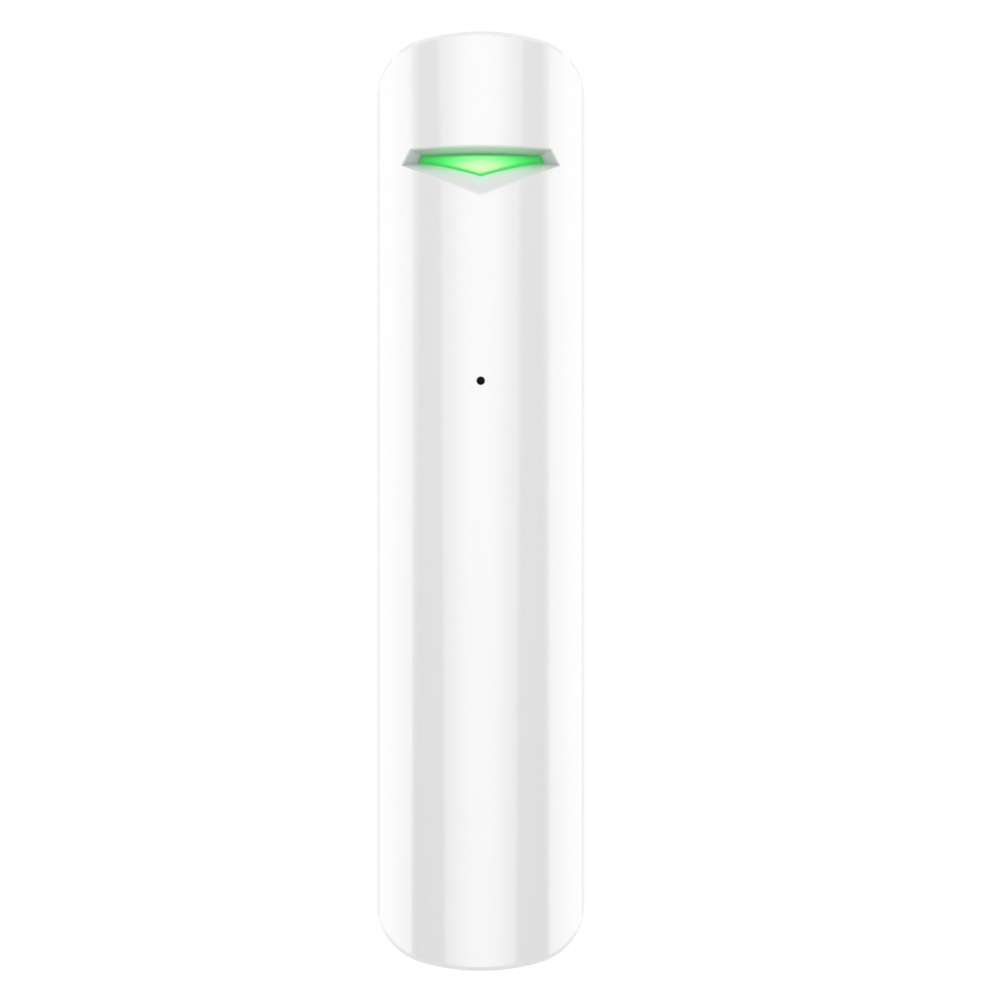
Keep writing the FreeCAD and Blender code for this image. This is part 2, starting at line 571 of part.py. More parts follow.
def case_screw(up):
    """Blunt self-tapping screw with a cylinder head and a cross recess."""
    z = SCREW_Z * up
    head = rod(SCREW_HEAD_DIAMETER, HEAD_SEAT_Y, HEAD_SEAT_Y + SCREW_HEAD_HEIGHT, 0, z)
    shank = rod(SCREW_DIAMETER, HEAD_SEAT_Y - SCREW_LENGTH, HEAD_SEAT_Y, 0, z)
    half, slot = SCREW_RECESS / 2, SCREW_RECESS / 8
    y0, y1 = HEAD_SEAT_Y + SCREW_HEAD_HEIGHT / 2, HEAD_SEAT_Y + SCREW_HEAD_HEIGHT + 1
    cross = box(-half, half, y0, y1, z - slot, z + slot).fuse(box(-slot, slot, y0, y1, z - half, z + half))
    return join([head, shank]).cut(cross)


def battery_cell():
    can = Part.makeCylinder(CELL_RADIUS, CELL_LENGTH - POLE_HEIGHT, V(0, AXIS_Y, CELL_BOTTOM))
    pole = Part.makeCylinder(POLE_DIAMETER / 2, POLE_HEIGHT, V(0, AXIS_Y, CELL_TOP - POLE_HEIGHT))
    return join([can, pole])


def circuit_board():
    return rounded_plate(2 * BOARD_HALF, BOARD_TOP - BOARD_BOTTOM, BOARD_ROUND, BOARD_FRONT, BOARD_BACK,
                         0, (BOARD_TOP + BOARD_BOTTOM) / 2)


def light_guide():
    """Clear guide: a curved lens in the recess, a flange behind the well, an entry over the LED, two legs."""
    lens = recess_prism(recess_outline(0.0).makeOffset2D(-FIT / 2), FRONT_Y, GUIDE_SEAT_Y)
    barrel = Part.makeCylinder(LENS_RADIUS, 2 * HALF_LENGTH, V(0, AXIS_Y, -HALF_LENGTH))
    flange_back = GUIDE_SEAT_Y + GUIDE_FLANGE
    flange = recess_prism(recess_outline(0.0).makeOffset2D(GUIDE_FLANGE_LIP), GUIDE_SEAT_Y, flange_back)
    flange = flange.common(cavity(FIT))
    entry = column(GUIDE_ENTRY, flange_back - FIT, BOARD_FRONT - LED_HEIGHT - LED_GAP, 0, LED_Z)
    legs = mirrored(column(GUIDE_LEG, flange_back - FIT, BOARD_FRONT, GUIDE_LEG_SPACING / 2, LED_Z))
    return join([lens.common(barrel), flange, entry] + legs)


def status_led():
    """Moulded LED: a square base under a smaller square of clear resin."""
    step_y = BOARD_FRONT - LED_HEIGHT / 2
    base = column(LED_SIZE, step_y, BOARD_FRONT, 0, LED_Z)
    return base.fuse(column(LED_LENS, BOARD_FRONT - LED_HEIGHT, step_y, 0, LED_Z))


def microphone_capsule():
    front = BOARD_FRONT - CAPSULE_HEIGHT
    can = rod(CAPSULE_DIAMETER, front, BOARD_FRONT, 0, SOUND_Z)
    return can.cut(rod(SOUND_CHANNEL, front, front + CAPSULE_HEIGHT / 4, 0, SOUND_Z))


def microphone_boot():
    """Rubber boot that leads the sound from the mesh to the capsule."""
    front = MESH_Y + MESH_THICKNESS
    pocket_front = BOARD_FRONT - CAPSULE_HEIGHT - FIT / 2
    boot = rod(BOOT_DIAMETER, front, BOARD_FRONT, 0, SOUND_Z).common(cavity(FIT))
    pocket = rod(CAPSULE_DIAMETER + FIT, pocket_front, BOARD_FRONT + 1, 0, SOUND_Z)
    return boot.cut([pocket, rod(SOUND_CHANNEL, front - 1, pocket_front, 0, SOUND_Z)])


def dust_mesh():
    return rod(MESH_DIAMETER, MESH_Y, MESH_Y + MESH_THICKNESS, 0, SOUND_Z)


def radio_shield():
    """Folded tin can over the radio, open towards the board, with a vent hole near one corner."""
    front = BOARD_FRONT - SHIELD_HEIGHT
    can = column(SHIELD_SIZE, front, BOARD_FRONT, 0, SHIELD_Z)
    can = can.cut(column(SHIELD_SIZE - 2 * SHIELD_SHEET, front + SHIELD_SHEET, BOARD_FRONT + 1, 0, SHIELD_Z))
    step = SHIELD_SIZE / 3
    return can.cut(rod(SHIELD_HOLE, front - 1, front + 1, step, SHIELD_Z + step))


def microcontroller():
    return column(CHIP_SIZE, BOARD_FRONT - CHIP_HEIGHT, BOARD_FRONT, 0, CHIP_Z)


def crystal():
    x = CHIP_SIZE / 2 + CRYSTAL_WIDTH
    return box(x - CRYSTAL_WIDTH / 2, x + CRYSTAL_WIDTH / 2, BOARD_FRONT - CRYSTAL_HEIGHT, BOARD_FRONT,
               CHIP_Z - CRYSTAL_LENGTH / 2, CHIP_Z + CRYSTAL_LENGTH / 2)


def chip_passives():
    """Small resistors and capacitors in a column beside the chip."""
    x = -CHIP_SIZE / 2 - PASSIVE_LENGTH
    parts = []
    for row in range(PASSIVES_A_SIDE):
        z = CHIP_Z + (row - (PASSIVES_A_SIDE - 1) / 2) * PASSIVE_PITCH
        parts.append(box(x - PASSIVE_LENGTH / 2, x + PASSIVE_LENGTH / 2, BOARD_FRONT - PASSIVE_HEIGHT,
                         BOARD_FRONT, z - PASSIVE_WIDTH / 2, z + PASSIVE_WIDTH / 2))
    return Part.makeCompound(parts)


def capacitor():
    z = POWER_Z - SWITCH_SIZE - CAPACITOR_BASE
    foot = column(CAPACITOR_BASE, BOARD_BACK, BOARD_BACK + CAPACITOR_BASE_HEIGHT, CAPACITOR_X, z)
    can = rod(CAPACITOR_DIAMETER, BOARD_BACK, BOARD_BACK + CAPACITOR_HEIGHT, CAPACITOR_X, z)
    return join([foot, can])


def wire_profile(centre, across, up, diameter, sides):
    """Outline of a wire's section: a polygon about a centre, in the plane of two unit vectors."""
    rim = []
    for side in range(sides):
        angle = 2 * math.pi * side / sides
        rim.append(centre + (across * math.cos(angle) + up * math.sin(angle)) * (diameter / 2))
    return Part.makePolygon(rim + rim[:1])


def coil(diameter, wire, pitch, turns):
    """Coil of square wire about the Z axis from the origin up, as a swept helix."""
    radius = (diameter - wire) / 2
    path = Part.makeHelix(pitch, pitch * turns, radius)
    profile = wire_profile(V(radius, 0, 0), V(1, 0, 1).normalize(), V(-1, 0, 1).normalize(), wire, 4)
    return Part.Wire(path.Edges).makePipeShell([profile], True, True)


def antenna_coil():
    """Helical antenna that stands up along the board's back on one leg."""
    y = BOARD_BACK + ANTENNA_STAND_OFF + ANTENNA_DIAMETER / 2
    z = TAMPER_Z + ANTENNA_ABOVE_TAMPER
    turns = coil(ANTENNA_DIAMETER, ANTENNA_WIRE, ANTENNA_PITCH, ANTENNA_TURNS)
    turns.rotate(V(0, 0, 0), V(0, 0, 1), -90)
    turns.translate(V(ANTENNA_X, y, z))
    start_y = y - (ANTENNA_DIAMETER - ANTENNA_WIRE) / 2
    leg = rod(ANTENNA_WIRE, BOARD_BACK, start_y + ANTENNA_WIRE / 4, ANTENNA_X, z)
    return turns.fuse(leg)


def switch_body(z):
    body = column(SWITCH_SIZE, BOARD_BACK, SWITCH_Y, 0, z)
    return body.cut(column(STEM_SIDE + 2 * FIT, SWITCH_Y - STEM_SOCKET, SWITCH_Y + 1, 0, z))


def switch_stem(z, end):
    return column(STEM_SIDE, SWITCH_Y - STEM_REACH, end, 0, z)


def power_button_cap():
    """Cap with a flange behind the wall and a foot on the switch's stem."""
    cap = rod(BUTTON_DIAMETER, FLANGE_Y - FIT, BACK_Y - BUTTON_SUNK, 0, POWER_Z)
    flange = rod(BUTTON_FLANGE, FLANGE_Y - BUTTON_FLANGE_THICKNESS, FLANGE_Y, 0, POWER_Z)
    foot = column(STEM_SIDE, POWER_STEM_END, FLANGE_Y - FIT, 0, POWER_Z)
    return join([cap, flange, foot])


def tamper_plunger():
    """Pin that the bracket's tab holds in, with a collar for its spring and a shaft on the switch."""
    tip = rod(PLUNGER_DIAMETER, FLANGE_Y - FIT, -BRACKET_THICKNESS - FIT / 2, 0, TAMPER_Z)
    collar = rod(COLLAR_DIAMETER, FLANGE_Y - COLLAR_THICKNESS, FLANGE_Y, 0, TAMPER_Z)
    shaft = column(PLUNGER_SHAFT, TAMPER_STEM_END, FLANGE_Y - FIT, 0, TAMPER_Z)
    return join([tip, collar, shaft])


def tamper_spring():
    """Compression spring between the switch's body and the plunger's collar."""
    y0, y1 = SWITCH_Y + FIT / 2, FLANGE_Y - COLLAR_THICKNESS - FIT / 2
    height = y1 - y0 - SPRING_WIRE
    turns = coil(SPRING_DIAMETER, SPRING_WIRE, height / SPRING_TURNS, SPRING_TURNS)
    turns.rotate(V(0, 0, 0), V(1, 0, 0), -90)
    turns.translate(V(0, y0 + SPRING_WIRE / 2, TAMPER_Z))
    return turns


def terminal_form(clearance, y0, y1):
    """The terminal's outline, with a clearance all round, between two depths."""
    half_width, half_height = TERMINAL_WIDTH / 2 + clearance, TERMINAL_HEIGHT / 2 + clearance
    return box(-half_width, half_width, y0, y1, TERMINAL_Z - half_height, TERMINAL_Z + half_height)


def terminal_holes(side, y0, y1):
    """Square shafts of the terminal, one for each pole."""
    step = TERMINAL_WIDTH / TERMINAL_POLES
    centres = [(pole - (TERMINAL_POLES - 1) / 2) * step for pole in range(TERMINAL_POLES)]
    return [column(side, y0, y1, x, TERMINAL_Z) for x in centres]


def terminal_block():
    """Two-pole terminal whose face shows in the rear cover's window."""
    block = terminal_form(0, BOARD_BACK, TERMINAL_FACE)
    depth = TERMINAL_FACE - TERMINAL_HOLE_DEPTH
    return block.cut(terminal_holes(TERMINAL_HOLE + 2 * CLAMP_WALL + FIT, depth, TERMINAL_FACE + 1))


def terminal_clamps():
    """Metal cages inside the terminal's holes."""
    y0, y1 = TERMINAL_FACE - TERMINAL_HOLE_DEPTH, TERMINAL_FACE - CLAMP_SETBACK
    sleeves = terminal_holes(TERMINAL_HOLE + 2 * CLAMP_WALL, y0, y1)
    bores = terminal_holes(TERMINAL_HOLE, y0 + CLAMP_WALL, y1 + 1)
    return Part.makeCompound([sleeve.cut(bore) for sleeve, bore in zip(sleeves, bores)])


def bent_strip(path, sheet, x0, x1):
    """Sheet metal strip that follows a path of (y, z) points, with mitred bends."""
    sides = ([], [])
    for index, (y, z) in enumerate(path):
        before = path[max(index - 1, 0)]
        after = path[min(index + 1, len(path) - 1)]
        into = V(0, y - before[0], z - before[1]) if index else V(0, after[0] - y, after[1] - z)
        out = V(0, after[0] - y, after[1] - z) if index < len(path) - 1 else into
        normals = [V(0, -d.z, d.y).normalize() for d in (V(into), V(out))]
        mitre = (normals[0] + normals[1]).normalize()
        reach = sheet / 2 / mitre.dot(normals[0])
        for side, sign in zip(sides, (1, -1)):
            side.append(V(x0, y, z) + mitre * (reach * sign))
    outline = sides[0] + sides[1][::-1]
    return Part.Face(Part.makePolygon(outline + outline[:1])).extrude(V(x1 - x0, 0, 0))


def positive_contact():
    """Leaf soldered to the back of the board, bent over the cell's pole."""
    y = BOARD_BACK + CONTACT_SHEET / 2
    z = CELL_TOP + CONTACT_SHEET / 2
    path = [(y, BOARD_BOTTOM + CONTACT_TAB), (y, z), (AXIS_Y + CONTACT_REACH, z)]
    return bent_strip(path, CONTACT_SHEET, -CONTACT_WIDTH / 2, CONTACT_WIDTH / 2)


def negative_contact():
    """Leaf on the cross wall, folded back up against the cell, with an arm out to the lead."""
    low = CROSS_WALL_TOP + CONTACT_SHEET / 2
    high = CELL_BOTTOM - CONTACT_SHEET / 2
    front, back = AXIS_Y - CONTACT_WIDTH / 2, SEAM_Y - TONGUE_HEIGHT - CONTACT_SHEET
    path = [(back, low), (front, low), (front - CONTACT_SHEET, (low + high) / 2), (front, high),
            (front + CONTACT_WIDTH / 2, high)]
    leaf = bent_strip(path, CONTACT_SHEET, -CONTACT_WIDTH / 2, CONTACT_WIDTH / 2)
    lead_y = AXIS_Y + LEAD_BEHIND_AXIS
    edge = LEAD_DIAMETER / 2
    arm = box(0, LEAD_X + edge, back - CONTACT_WIDTH / 3, back, CROSS_WALL_TOP, CROSS_WALL_TOP + CONTACT_SHEET)
    ear = box(LEAD_X - edge, LEAD_X + edge, back - CONTACT_WIDTH / 3, lead_y + edge, CROSS_WALL_TOP,
              CROSS_WALL_TOP + CONTACT_SHEET)
    return join([leaf, arm, ear])


def negative_lead():
    """Insulated lead from the lower contact, up behind the cell and over to the board."""
    y = AXIS_Y + LEAD_BEHIND_AXIS
    top = BOARD_BOTTOM + LEAD_END_ABOVE_EDGE
    start = V(LEAD_X, y, CROSS_WALL_TOP + CONTACT_SHEET)
    bend = V(LEAD_X, y, top - LEAD_BEND)
    turned = V(LEAD_X, y - LEAD_BEND, top)
    slant = LEAD_BEND * (1 - math.cos(math.pi / 4))
    corner = V(LEAD_X, y - slant, top - slant)
    path = Part.Wire([line(start, bend), arc(bend, corner, turned), line(turned, V(LEAD_X, BOARD_BACK, top))])
    profile = wire_profile(start, V(1, 0, 0), V(0, 1, 0), LEAD_DIAMETER, 8)
    return path.makePipeShell([profile], True, False)


def write_parts():
    nodes = {
        "mounting_bracket": mounting_bracket(),
        "front_cover": front_cover(),
        "rear_cover": rear_cover(),
        "case_screw_upper": case_screw(1),
        "case_screw_lower": case_screw(-1),
        "circuit_board": circuit_board(),
        "battery_cell": battery_cell(),
        "positive_contact": positive_contact(),
        "negative_contact": negative_contact(),
        "negative_lead": negative_lead(),
        "light_guide": light_guide(),
        "status_led": status_led(),
        "microphone_capsule": microphone_capsule(),
        "microphone_boot": microphone_boot(),
        "dust_mesh": dust_mesh(),
        "radio_shield": radio_shield(),
        "microcontroller": microcontroller(),
        "crystal": crystal(),
        "chip_passives": chip_passives(),
        "capacitor": capacitor(),
        "antenna_coil": antenna_coil(),
        "power_switch_body": switch_body(POWER_Z),
        "power_switch_stem": switch_stem(POWER_Z, POWER_STEM_END),
        "power_button_cap": power_button_cap(),
        "tamper_switch_body": switch_body(TAMPER_Z),
        "tamper_switch_stem": switch_stem(TAMPER_Z, TAMPER_STEM_END),
        "tamper_plunger": tamper_plunger(),
        "tamper_spring": tamper_spring(),
        "terminal_block": terminal_block(),
        "terminal_clamps": terminal_clamps(),
    }
    os.makedirs("parts", exist_ok=True)
    for name, shape in nodes.items():
        shape.exportStep(f"parts/{name}.step")


write_parts()
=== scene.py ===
import logging
import math
from dataclasses import dataclass, field
from enum import Enum
from typing import Callable, Iterable, NamedTuple, Optional, Sequence

import bmesh
import bpy
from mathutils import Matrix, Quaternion, Vector


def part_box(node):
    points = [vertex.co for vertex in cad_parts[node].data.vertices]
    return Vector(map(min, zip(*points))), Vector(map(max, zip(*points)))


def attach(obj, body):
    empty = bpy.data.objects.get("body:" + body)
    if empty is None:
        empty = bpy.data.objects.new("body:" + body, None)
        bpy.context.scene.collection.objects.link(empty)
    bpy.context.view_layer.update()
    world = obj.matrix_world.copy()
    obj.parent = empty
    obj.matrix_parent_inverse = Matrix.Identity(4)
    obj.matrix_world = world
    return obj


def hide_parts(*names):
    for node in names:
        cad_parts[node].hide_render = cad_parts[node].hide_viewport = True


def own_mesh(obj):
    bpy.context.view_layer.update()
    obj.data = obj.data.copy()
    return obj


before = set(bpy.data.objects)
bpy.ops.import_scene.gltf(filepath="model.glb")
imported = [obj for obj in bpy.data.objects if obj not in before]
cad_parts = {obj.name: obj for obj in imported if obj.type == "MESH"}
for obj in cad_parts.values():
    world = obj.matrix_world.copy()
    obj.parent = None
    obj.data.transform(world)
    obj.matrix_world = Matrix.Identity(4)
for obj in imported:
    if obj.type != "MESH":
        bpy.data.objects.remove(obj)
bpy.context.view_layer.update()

LOG = logging.getLogger("glass_break_sensor")
MM = 0.001
MERGE = 1e-7  # metres between vertices that count as one
TOUCH = 0.01  # millimetres between a face and a point that lies on it
WHITE = (1.0, 1.0, 1.0, 1.0)
BLACK = (0.0, 0.0, 0.0, 1.0)

Colour = tuple[float, float, float]
Outline = Sequence[tuple[float, float]]
Piece = bpy.types.Object
Material = bpy.types.Material
NodeTree = bpy.types.NodeTree
Node = bpy.types.Node
Socket = bpy.types.NodeSocket


class Body(Enum):
    """The moving bodies of the detector."""

    BRACKET = "bracket"
    DETECTOR = "detector"
    BUTTON = "power_button"
    TAMPER = "tamper"


class Ray(Enum):
    """Kinds of ray that pass the studio's cards by, as Blender names their switches."""

    CAMERA = "visible_camera"
    DIFFUSE = "visible_diffuse"
    TRANSMISSION = "visible_transmission"
    SHADOW = "visible_shadow"


class Element(Enum):
    """What an edit-mode selection is made of."""

    VERTS = "VERT"
    EDGES = "EDGE"


class Axis(Enum):
    """Directions that turned pieces are built along."""

    UP = (0.0, 0.0, 1.0)
    TO_FRONT = (0.0, -1.0, 0.0)
    TO_BACK = (0.0, 1.0, 0.0)

    @property
    def way(self) -> Vector:
        """The direction as a vector."""
        return Vector(self.value)


class NodeSheet:
    """A node tree with short calls for adding nodes and joining them."""

    def __init__(self, tree: NodeTree) -> None:
        """Keeps the tree.

        Args:
            tree: The tree of a material, a world or a node group.
        """
        self.tree = tree

    def add(self, kind: str, settings: Optional[dict] = None, **inputs: object) -> Node:
        """Adds a node, with its settings and the values or links of its inputs.

        Args:
            kind: The node's type name.
            settings: Properties of the node itself.
            **inputs: Sockets by name, with underscores for spaces, as plain values or output sockets.

        Returns:
            The new node.
        """
        node = self.tree.nodes.new(kind)
        for name, value in (settings or {}).items():
            setattr(node, name, value)
        for name, value in inputs.items():
            self.feed(node, name.replace("_", " "), value)
        return node

    def feed(self, node: Node, socket: object, value: object) -> None:
        """Sets or links one input.

        Args:
            node: The node that has the input.
            socket: The input's name or number.
            value: A plain value, or the output socket to link.
        """
        if isinstance(value, Socket):
            self.tree.links.new(value, node.inputs[socket])
        else:
            node.inputs[socket].default_value = value

    def maths(self, operation: str, *values: object) -> Socket:
        """Adds a Math node.

        Args:
            operation: The Math node's operation.
            *values: Its inputs in order, as numbers or output sockets.

        Returns:
            The result socket.
        """
        node = self.add("ShaderNodeMath", {"operation": operation})
        for index, value in enumerate(values):
            self.feed(node, index, value)
        return node.outputs[0]

    def ramp(self, factor: Socket, stops: Sequence[tuple[float, Colour]],
             ease: str = "EASE") -> Socket:
        """Adds a colour ramp.

        Args:
            factor: The socket that drives the ramp.
            stops: Place and colour of each stop, in order.
            ease: The ramp's interpolation.

        Returns:
            The colour socket.
        """
        node = self.add("ShaderNodeValToRGB", Fac=factor)
        band = node.color_ramp
        band.interpolation = ease
        while len(band.elements) < len(stops):
            band.elements.new(1.0)
        for element, (place, colour) in zip(band.elements, stops):
            element.position = place
            element.color = (*colour, 1.0)
        return node.outputs["Color"]

    def blend(self, factor: object, first: object, second: object, mode: str = "MIX") -> Socket:
        """Mixes two colours.

        Args:
            factor: Share of the second colour.
            first: The first colour.
            second: The second colour.
            mode: The Mix node's blend type.

        Returns:
            The colour socket.
        """
        node = self.add("ShaderNodeMix", {"data_type": "RGBA", "blend_type": mode})
        for index, value in ((0, factor), (6, first), (7, second)):
            self.feed(node, index, (*value, 1.0) if isinstance(value, tuple) and len(value) == 3 else value)
        return node.outputs[2]

    def fade(self, value: object, start: float, end: float, first: float = 1.0,
             last: float = 0.0) -> Socket:
        """Goes smoothly from one value to another.

        Args:
            value: The socket that is read.
            start: Where the fade starts.
            end: Where it ends.
            first: The result before the start.
            last: The result past the end.

        Returns:
            The result socket.
        """
        return self.add("ShaderNodeMapRange", {"interpolation_type": "SMOOTHSTEP"}, Value=value,
                        From_Min=start, From_Max=end, To_Min=first, To_Max=last).outputs[0]

    def distance(self, first: Socket, second: Socket) -> Socket:
        """The length of a line from its two sides at a right angle."""
        squares = [self.maths("MULTIPLY", side, side) for side in (first, second)]
        return self.maths("SQRT", self.maths("ADD", *squares))

    def overlay(self, share: Socket, first: Socket, second: Socket) -> Socket:
        """Mixes two shaders.

        Args:
            share: Share of the second shader.
            first: The first shader.
            second: The second shader.

        Returns:
            The shader socket.
        """
        mixed = self.add("ShaderNodeMixShader", Fac=share)
        self.feed(mixed, 1, first)
        self.feed(mixed, 2, second)
        return mixed.outputs[0]

    def object_point(self) -> Socket:
        """The point on the piece, in the frame's metres."""
        return self.add("ShaderNodeTexCoord").outputs["Object"]

    def axes(self, vector: Optional[Socket] = None) -> dict:
        """The coordinates of a vector by axis, or of the point on the piece where none is given."""
        return self.add("ShaderNodeSeparateXYZ", Vector=vector or self.object_point()).outputs

    @classmethod
    def of_material(cls, name: str) -> tuple[Material, "NodeSheet"]:
        """Starts a material.

        Args:
            name: The material's name.

        Returns:
            The empty material and the sheet of its tree.
        """
        material = bpy.data.materials.new(name)
        material.use_nodes = True
        material.node_tree.nodes.clear()
        return material, cls(material.node_tree)


class SharedEffects:
    """Shader node groups that several finishes place in their materials.

    Scales and pitches are per metre, and the weave's pitch is in radians.
    """

    speck_scale = 2600.0
    speck_level = 0.58
    stain_scale = 220.0
    gap_level = 0.45

    def __init__(self) -> None:
        """Builds each group once."""
        self.grain = self._grain()
        self.handling = self._handling()
        self.drawn_metal = self._drawn_metal()
        self.weave = self._weave()

    @staticmethod
    def _open(name: str, inputs: dict[str, float],
              outputs: Iterable[str]) -> tuple[NodeSheet, dict, Node]:
        """Starts a group with float inputs and outputs.

        Args:
            name: The group's name.
            inputs: Input names with their default values.
            outputs: Output names.

        Returns:
            The sheet, the input sockets by name, and the output node.
        """
        tree = bpy.data.node_groups.new(name, "ShaderNodeTree")
        for label, value in inputs.items():
            socket = tree.interface.new_socket(label, in_out="INPUT", socket_type="NodeSocketFloat")
            socket.default_value = value
        for label in outputs:
            tree.interface.new_socket(label, in_out="OUTPUT", socket_type="NodeSocketFloat")
        sheet = NodeSheet(tree)
        entry = sheet.add("NodeGroupInput")
        return sheet, entry.outputs, sheet.add("NodeGroupOutput")

    def _grain(self) -> NodeTree:
        """Spark-eroded mould texture: fine pits, and a slow drift in the plastic's tone.

        Returns:
            The group, which gives the height and the tone.
        """
        sheet, given, out = self._open("mould_grain", {"Pitch": 4000.0, "Drift": 60.0}, ("Height", "Tone"))
        point = sheet.object_point()
        fine = sheet.add("ShaderNodeTexNoise", Vector=point, Scale=given["Pitch"], Detail=3.0, Roughness=0.6)
        pits = sheet.add("ShaderNodeTexVoronoi", {"feature": "SMOOTH_F1"}, Vector=point, Scale=given["Pitch"])
        slow = sheet.add("ShaderNodeTexNoise", Vector=point, Scale=given["Drift"], Detail=2.0)
        height = sheet.maths("ADD", fine.outputs["Fac"], pits.outputs["Distance"])
        sheet.feed(out, "Height", height)
        sheet.feed(out, "Tone", slow.outputs["Fac"])
        return sheet.tree

    def _handling(self) -> NodeTree:
        """Traces of handling: broad smudges in the gloss, and dust that settles on upward faces.

        Returns:
            The group, which gives the smudges and the dust.
        """
        sheet, given, out = self._open("handling", {"Reach": 90.0}, ("Smudge", "Dust"))
        point = sheet.object_point()
        broad = sheet.add("ShaderNodeTexNoise", Vector=point, Scale=given["Reach"], Detail=4.0,
                          Roughness=0.55, Distortion=0.6)
        specks = sheet.add("ShaderNodeTexNoise", Vector=point, Scale=self.speck_scale, Detail=2.0)
        upward = sheet.axes(sheet.add("ShaderNodeNewGeometry").outputs["Normal"])["Z"]
        facing = sheet.maths("MAXIMUM", upward, 0.0)
        grains = sheet.maths("GREATER_THAN", specks.outputs["Fac"], self.speck_level)
        sheet.feed(out, "Smudge", broad.outputs["Fac"])
        sheet.feed(out, "Dust", sheet.maths("MULTIPLY", facing, grains))
        return sheet.tree

    def _drawn_metal(self) -> NodeTree:
        """Fine lines of drawn or rolled metal, with a slow stain.

        Returns:
            The group, which gives the lines and the stain.
        """
        sheet, given, out = self._open("drawn_metal", {"Across": 9000.0, "Along": 300.0}, ("Lines", "Stain"))
        point = sheet.object_point()
        stretch = sheet.add("ShaderNodeCombineXYZ", X=given["Across"], Y=given["Across"], Z=given["Along"])
        scaled = sheet.add("ShaderNodeVectorMath", {"operation": "MULTIPLY"})
        sheet.feed(scaled, 0, point)
        sheet.feed(scaled, 1, stretch.outputs[0])
        lines = sheet.add("ShaderNodeTexNoise", Vector=scaled.outputs[0], Scale=1.0, Detail=3.0)
        stain = sheet.add("ShaderNodeTexNoise", Vector=point, Scale=self.stain_scale, Detail=3.0)
        sheet.feed(out, "Lines", lines.outputs["Fac"])
        sheet.feed(out, "Stain", stain.outputs["Fac"])
        return sheet.tree

    def _weave(self) -> NodeTree:
        """Plain weave across X and Z, as in a fine cloth or a glass-fibre laminate.

        Returns:
            The group, which gives the threads and the gaps between them.
        """
        sheet, given, out = self._open("plain_weave", {"Pitch": 30000.0}, ("Thread", "Gap"))
        place = sheet.axes()
        waves = []
        for axis in ("X", "Z"):
            turns = sheet.maths("MULTIPLY", place[axis], given["Pitch"])
            waves.append(sheet.maths("ABSOLUTE", sheet.maths("SINE", turns)))
        thread = sheet.maths("MAXIMUM", *waves)
        sheet.feed(out, "Thread", thread)
        sheet.feed(out, "Gap", sheet.maths("LESS_THAN", thread, self.gap_level))
        return sheet.tree


@dataclass(frozen=True)
class RecessOutline:
    """The lit recess in millimetres: heights and half outline (x, z) of its lens, above the mouth's foot."""

    foot_z: float = 29.26
    mouth_crown: float = 4.84
    lens_tip: float = 1.775
    lens_side: tuple[float, float] = (6.06, 3.12)
    lens_top: tuple[float, float] = (5.72, 3.85)
    lens_crown: float = 4.06
    lens_bow: float = 0.115
    axis_y: float = -11.6
    case_radius: float = 10.0

    @property
    def lens_tip_z(self) -> float:
        """Height of the lens's lower tip."""
        return self.foot_z + self.lens_tip

    def lens_roof(self, across: float) -> float:
        """Height of the lens's upper edge at a distance from the middle."""
        end_x, end_z = self.lens_top
        return self.foot_z + self.lens_crown - (self.lens_crown - end_z) * (across / end_x) ** 2

    def lens_sill(self, across: float) -> float:
        """Height of the lens's lower edge.

        Args:
            across: Distance from the middle.

        Returns:
            The height in the frame.
        """
        end_x, end_z = self.lens_side
        reach = abs(across) / end_x
        return self.lens_tip_z + (end_z - self.lens_tip) * reach + 4.0 * self.lens_bow * reach * (1.0 - reach)

    def point_in(self, sheet: NodeSheet, place: dict) -> tuple[Socket, Socket]:
        """A point's distance from the middle and its height above the mouth's foot."""
        return (sheet.maths("DIVIDE", sheet.maths("ABSOLUTE", place["X"]), MM),
                sheet.maths("SUBTRACT", sheet.maths("DIVIDE", place["Z"], MM), self.foot_z))

    def above_sill(self, sheet: NodeSheet, place: dict) -> Socket:
        """How far a point lies above the lens's lower edge, below it less than zero.

        Args:
            sheet: The material's sheet.
            place: The point's coordinate sockets by axis.

        Returns:
            The distance socket.
        """
        end_x, end_z = self.lens_side
        across, height = self.point_in(sheet, place)
        rise = (end_z - self.lens_tip) / end_x + 4.0 * self.lens_bow / end_x
        straight = sheet.maths("MULTIPLY_ADD", across, rise, self.lens_tip)
        sill = sheet.maths("MULTIPLY_ADD", sheet.maths("MULTIPLY", across, across),
                           -4.0 * self.lens_bow / end_x ** 2, straight)
        return sheet.maths("SUBTRACT", height, sill)


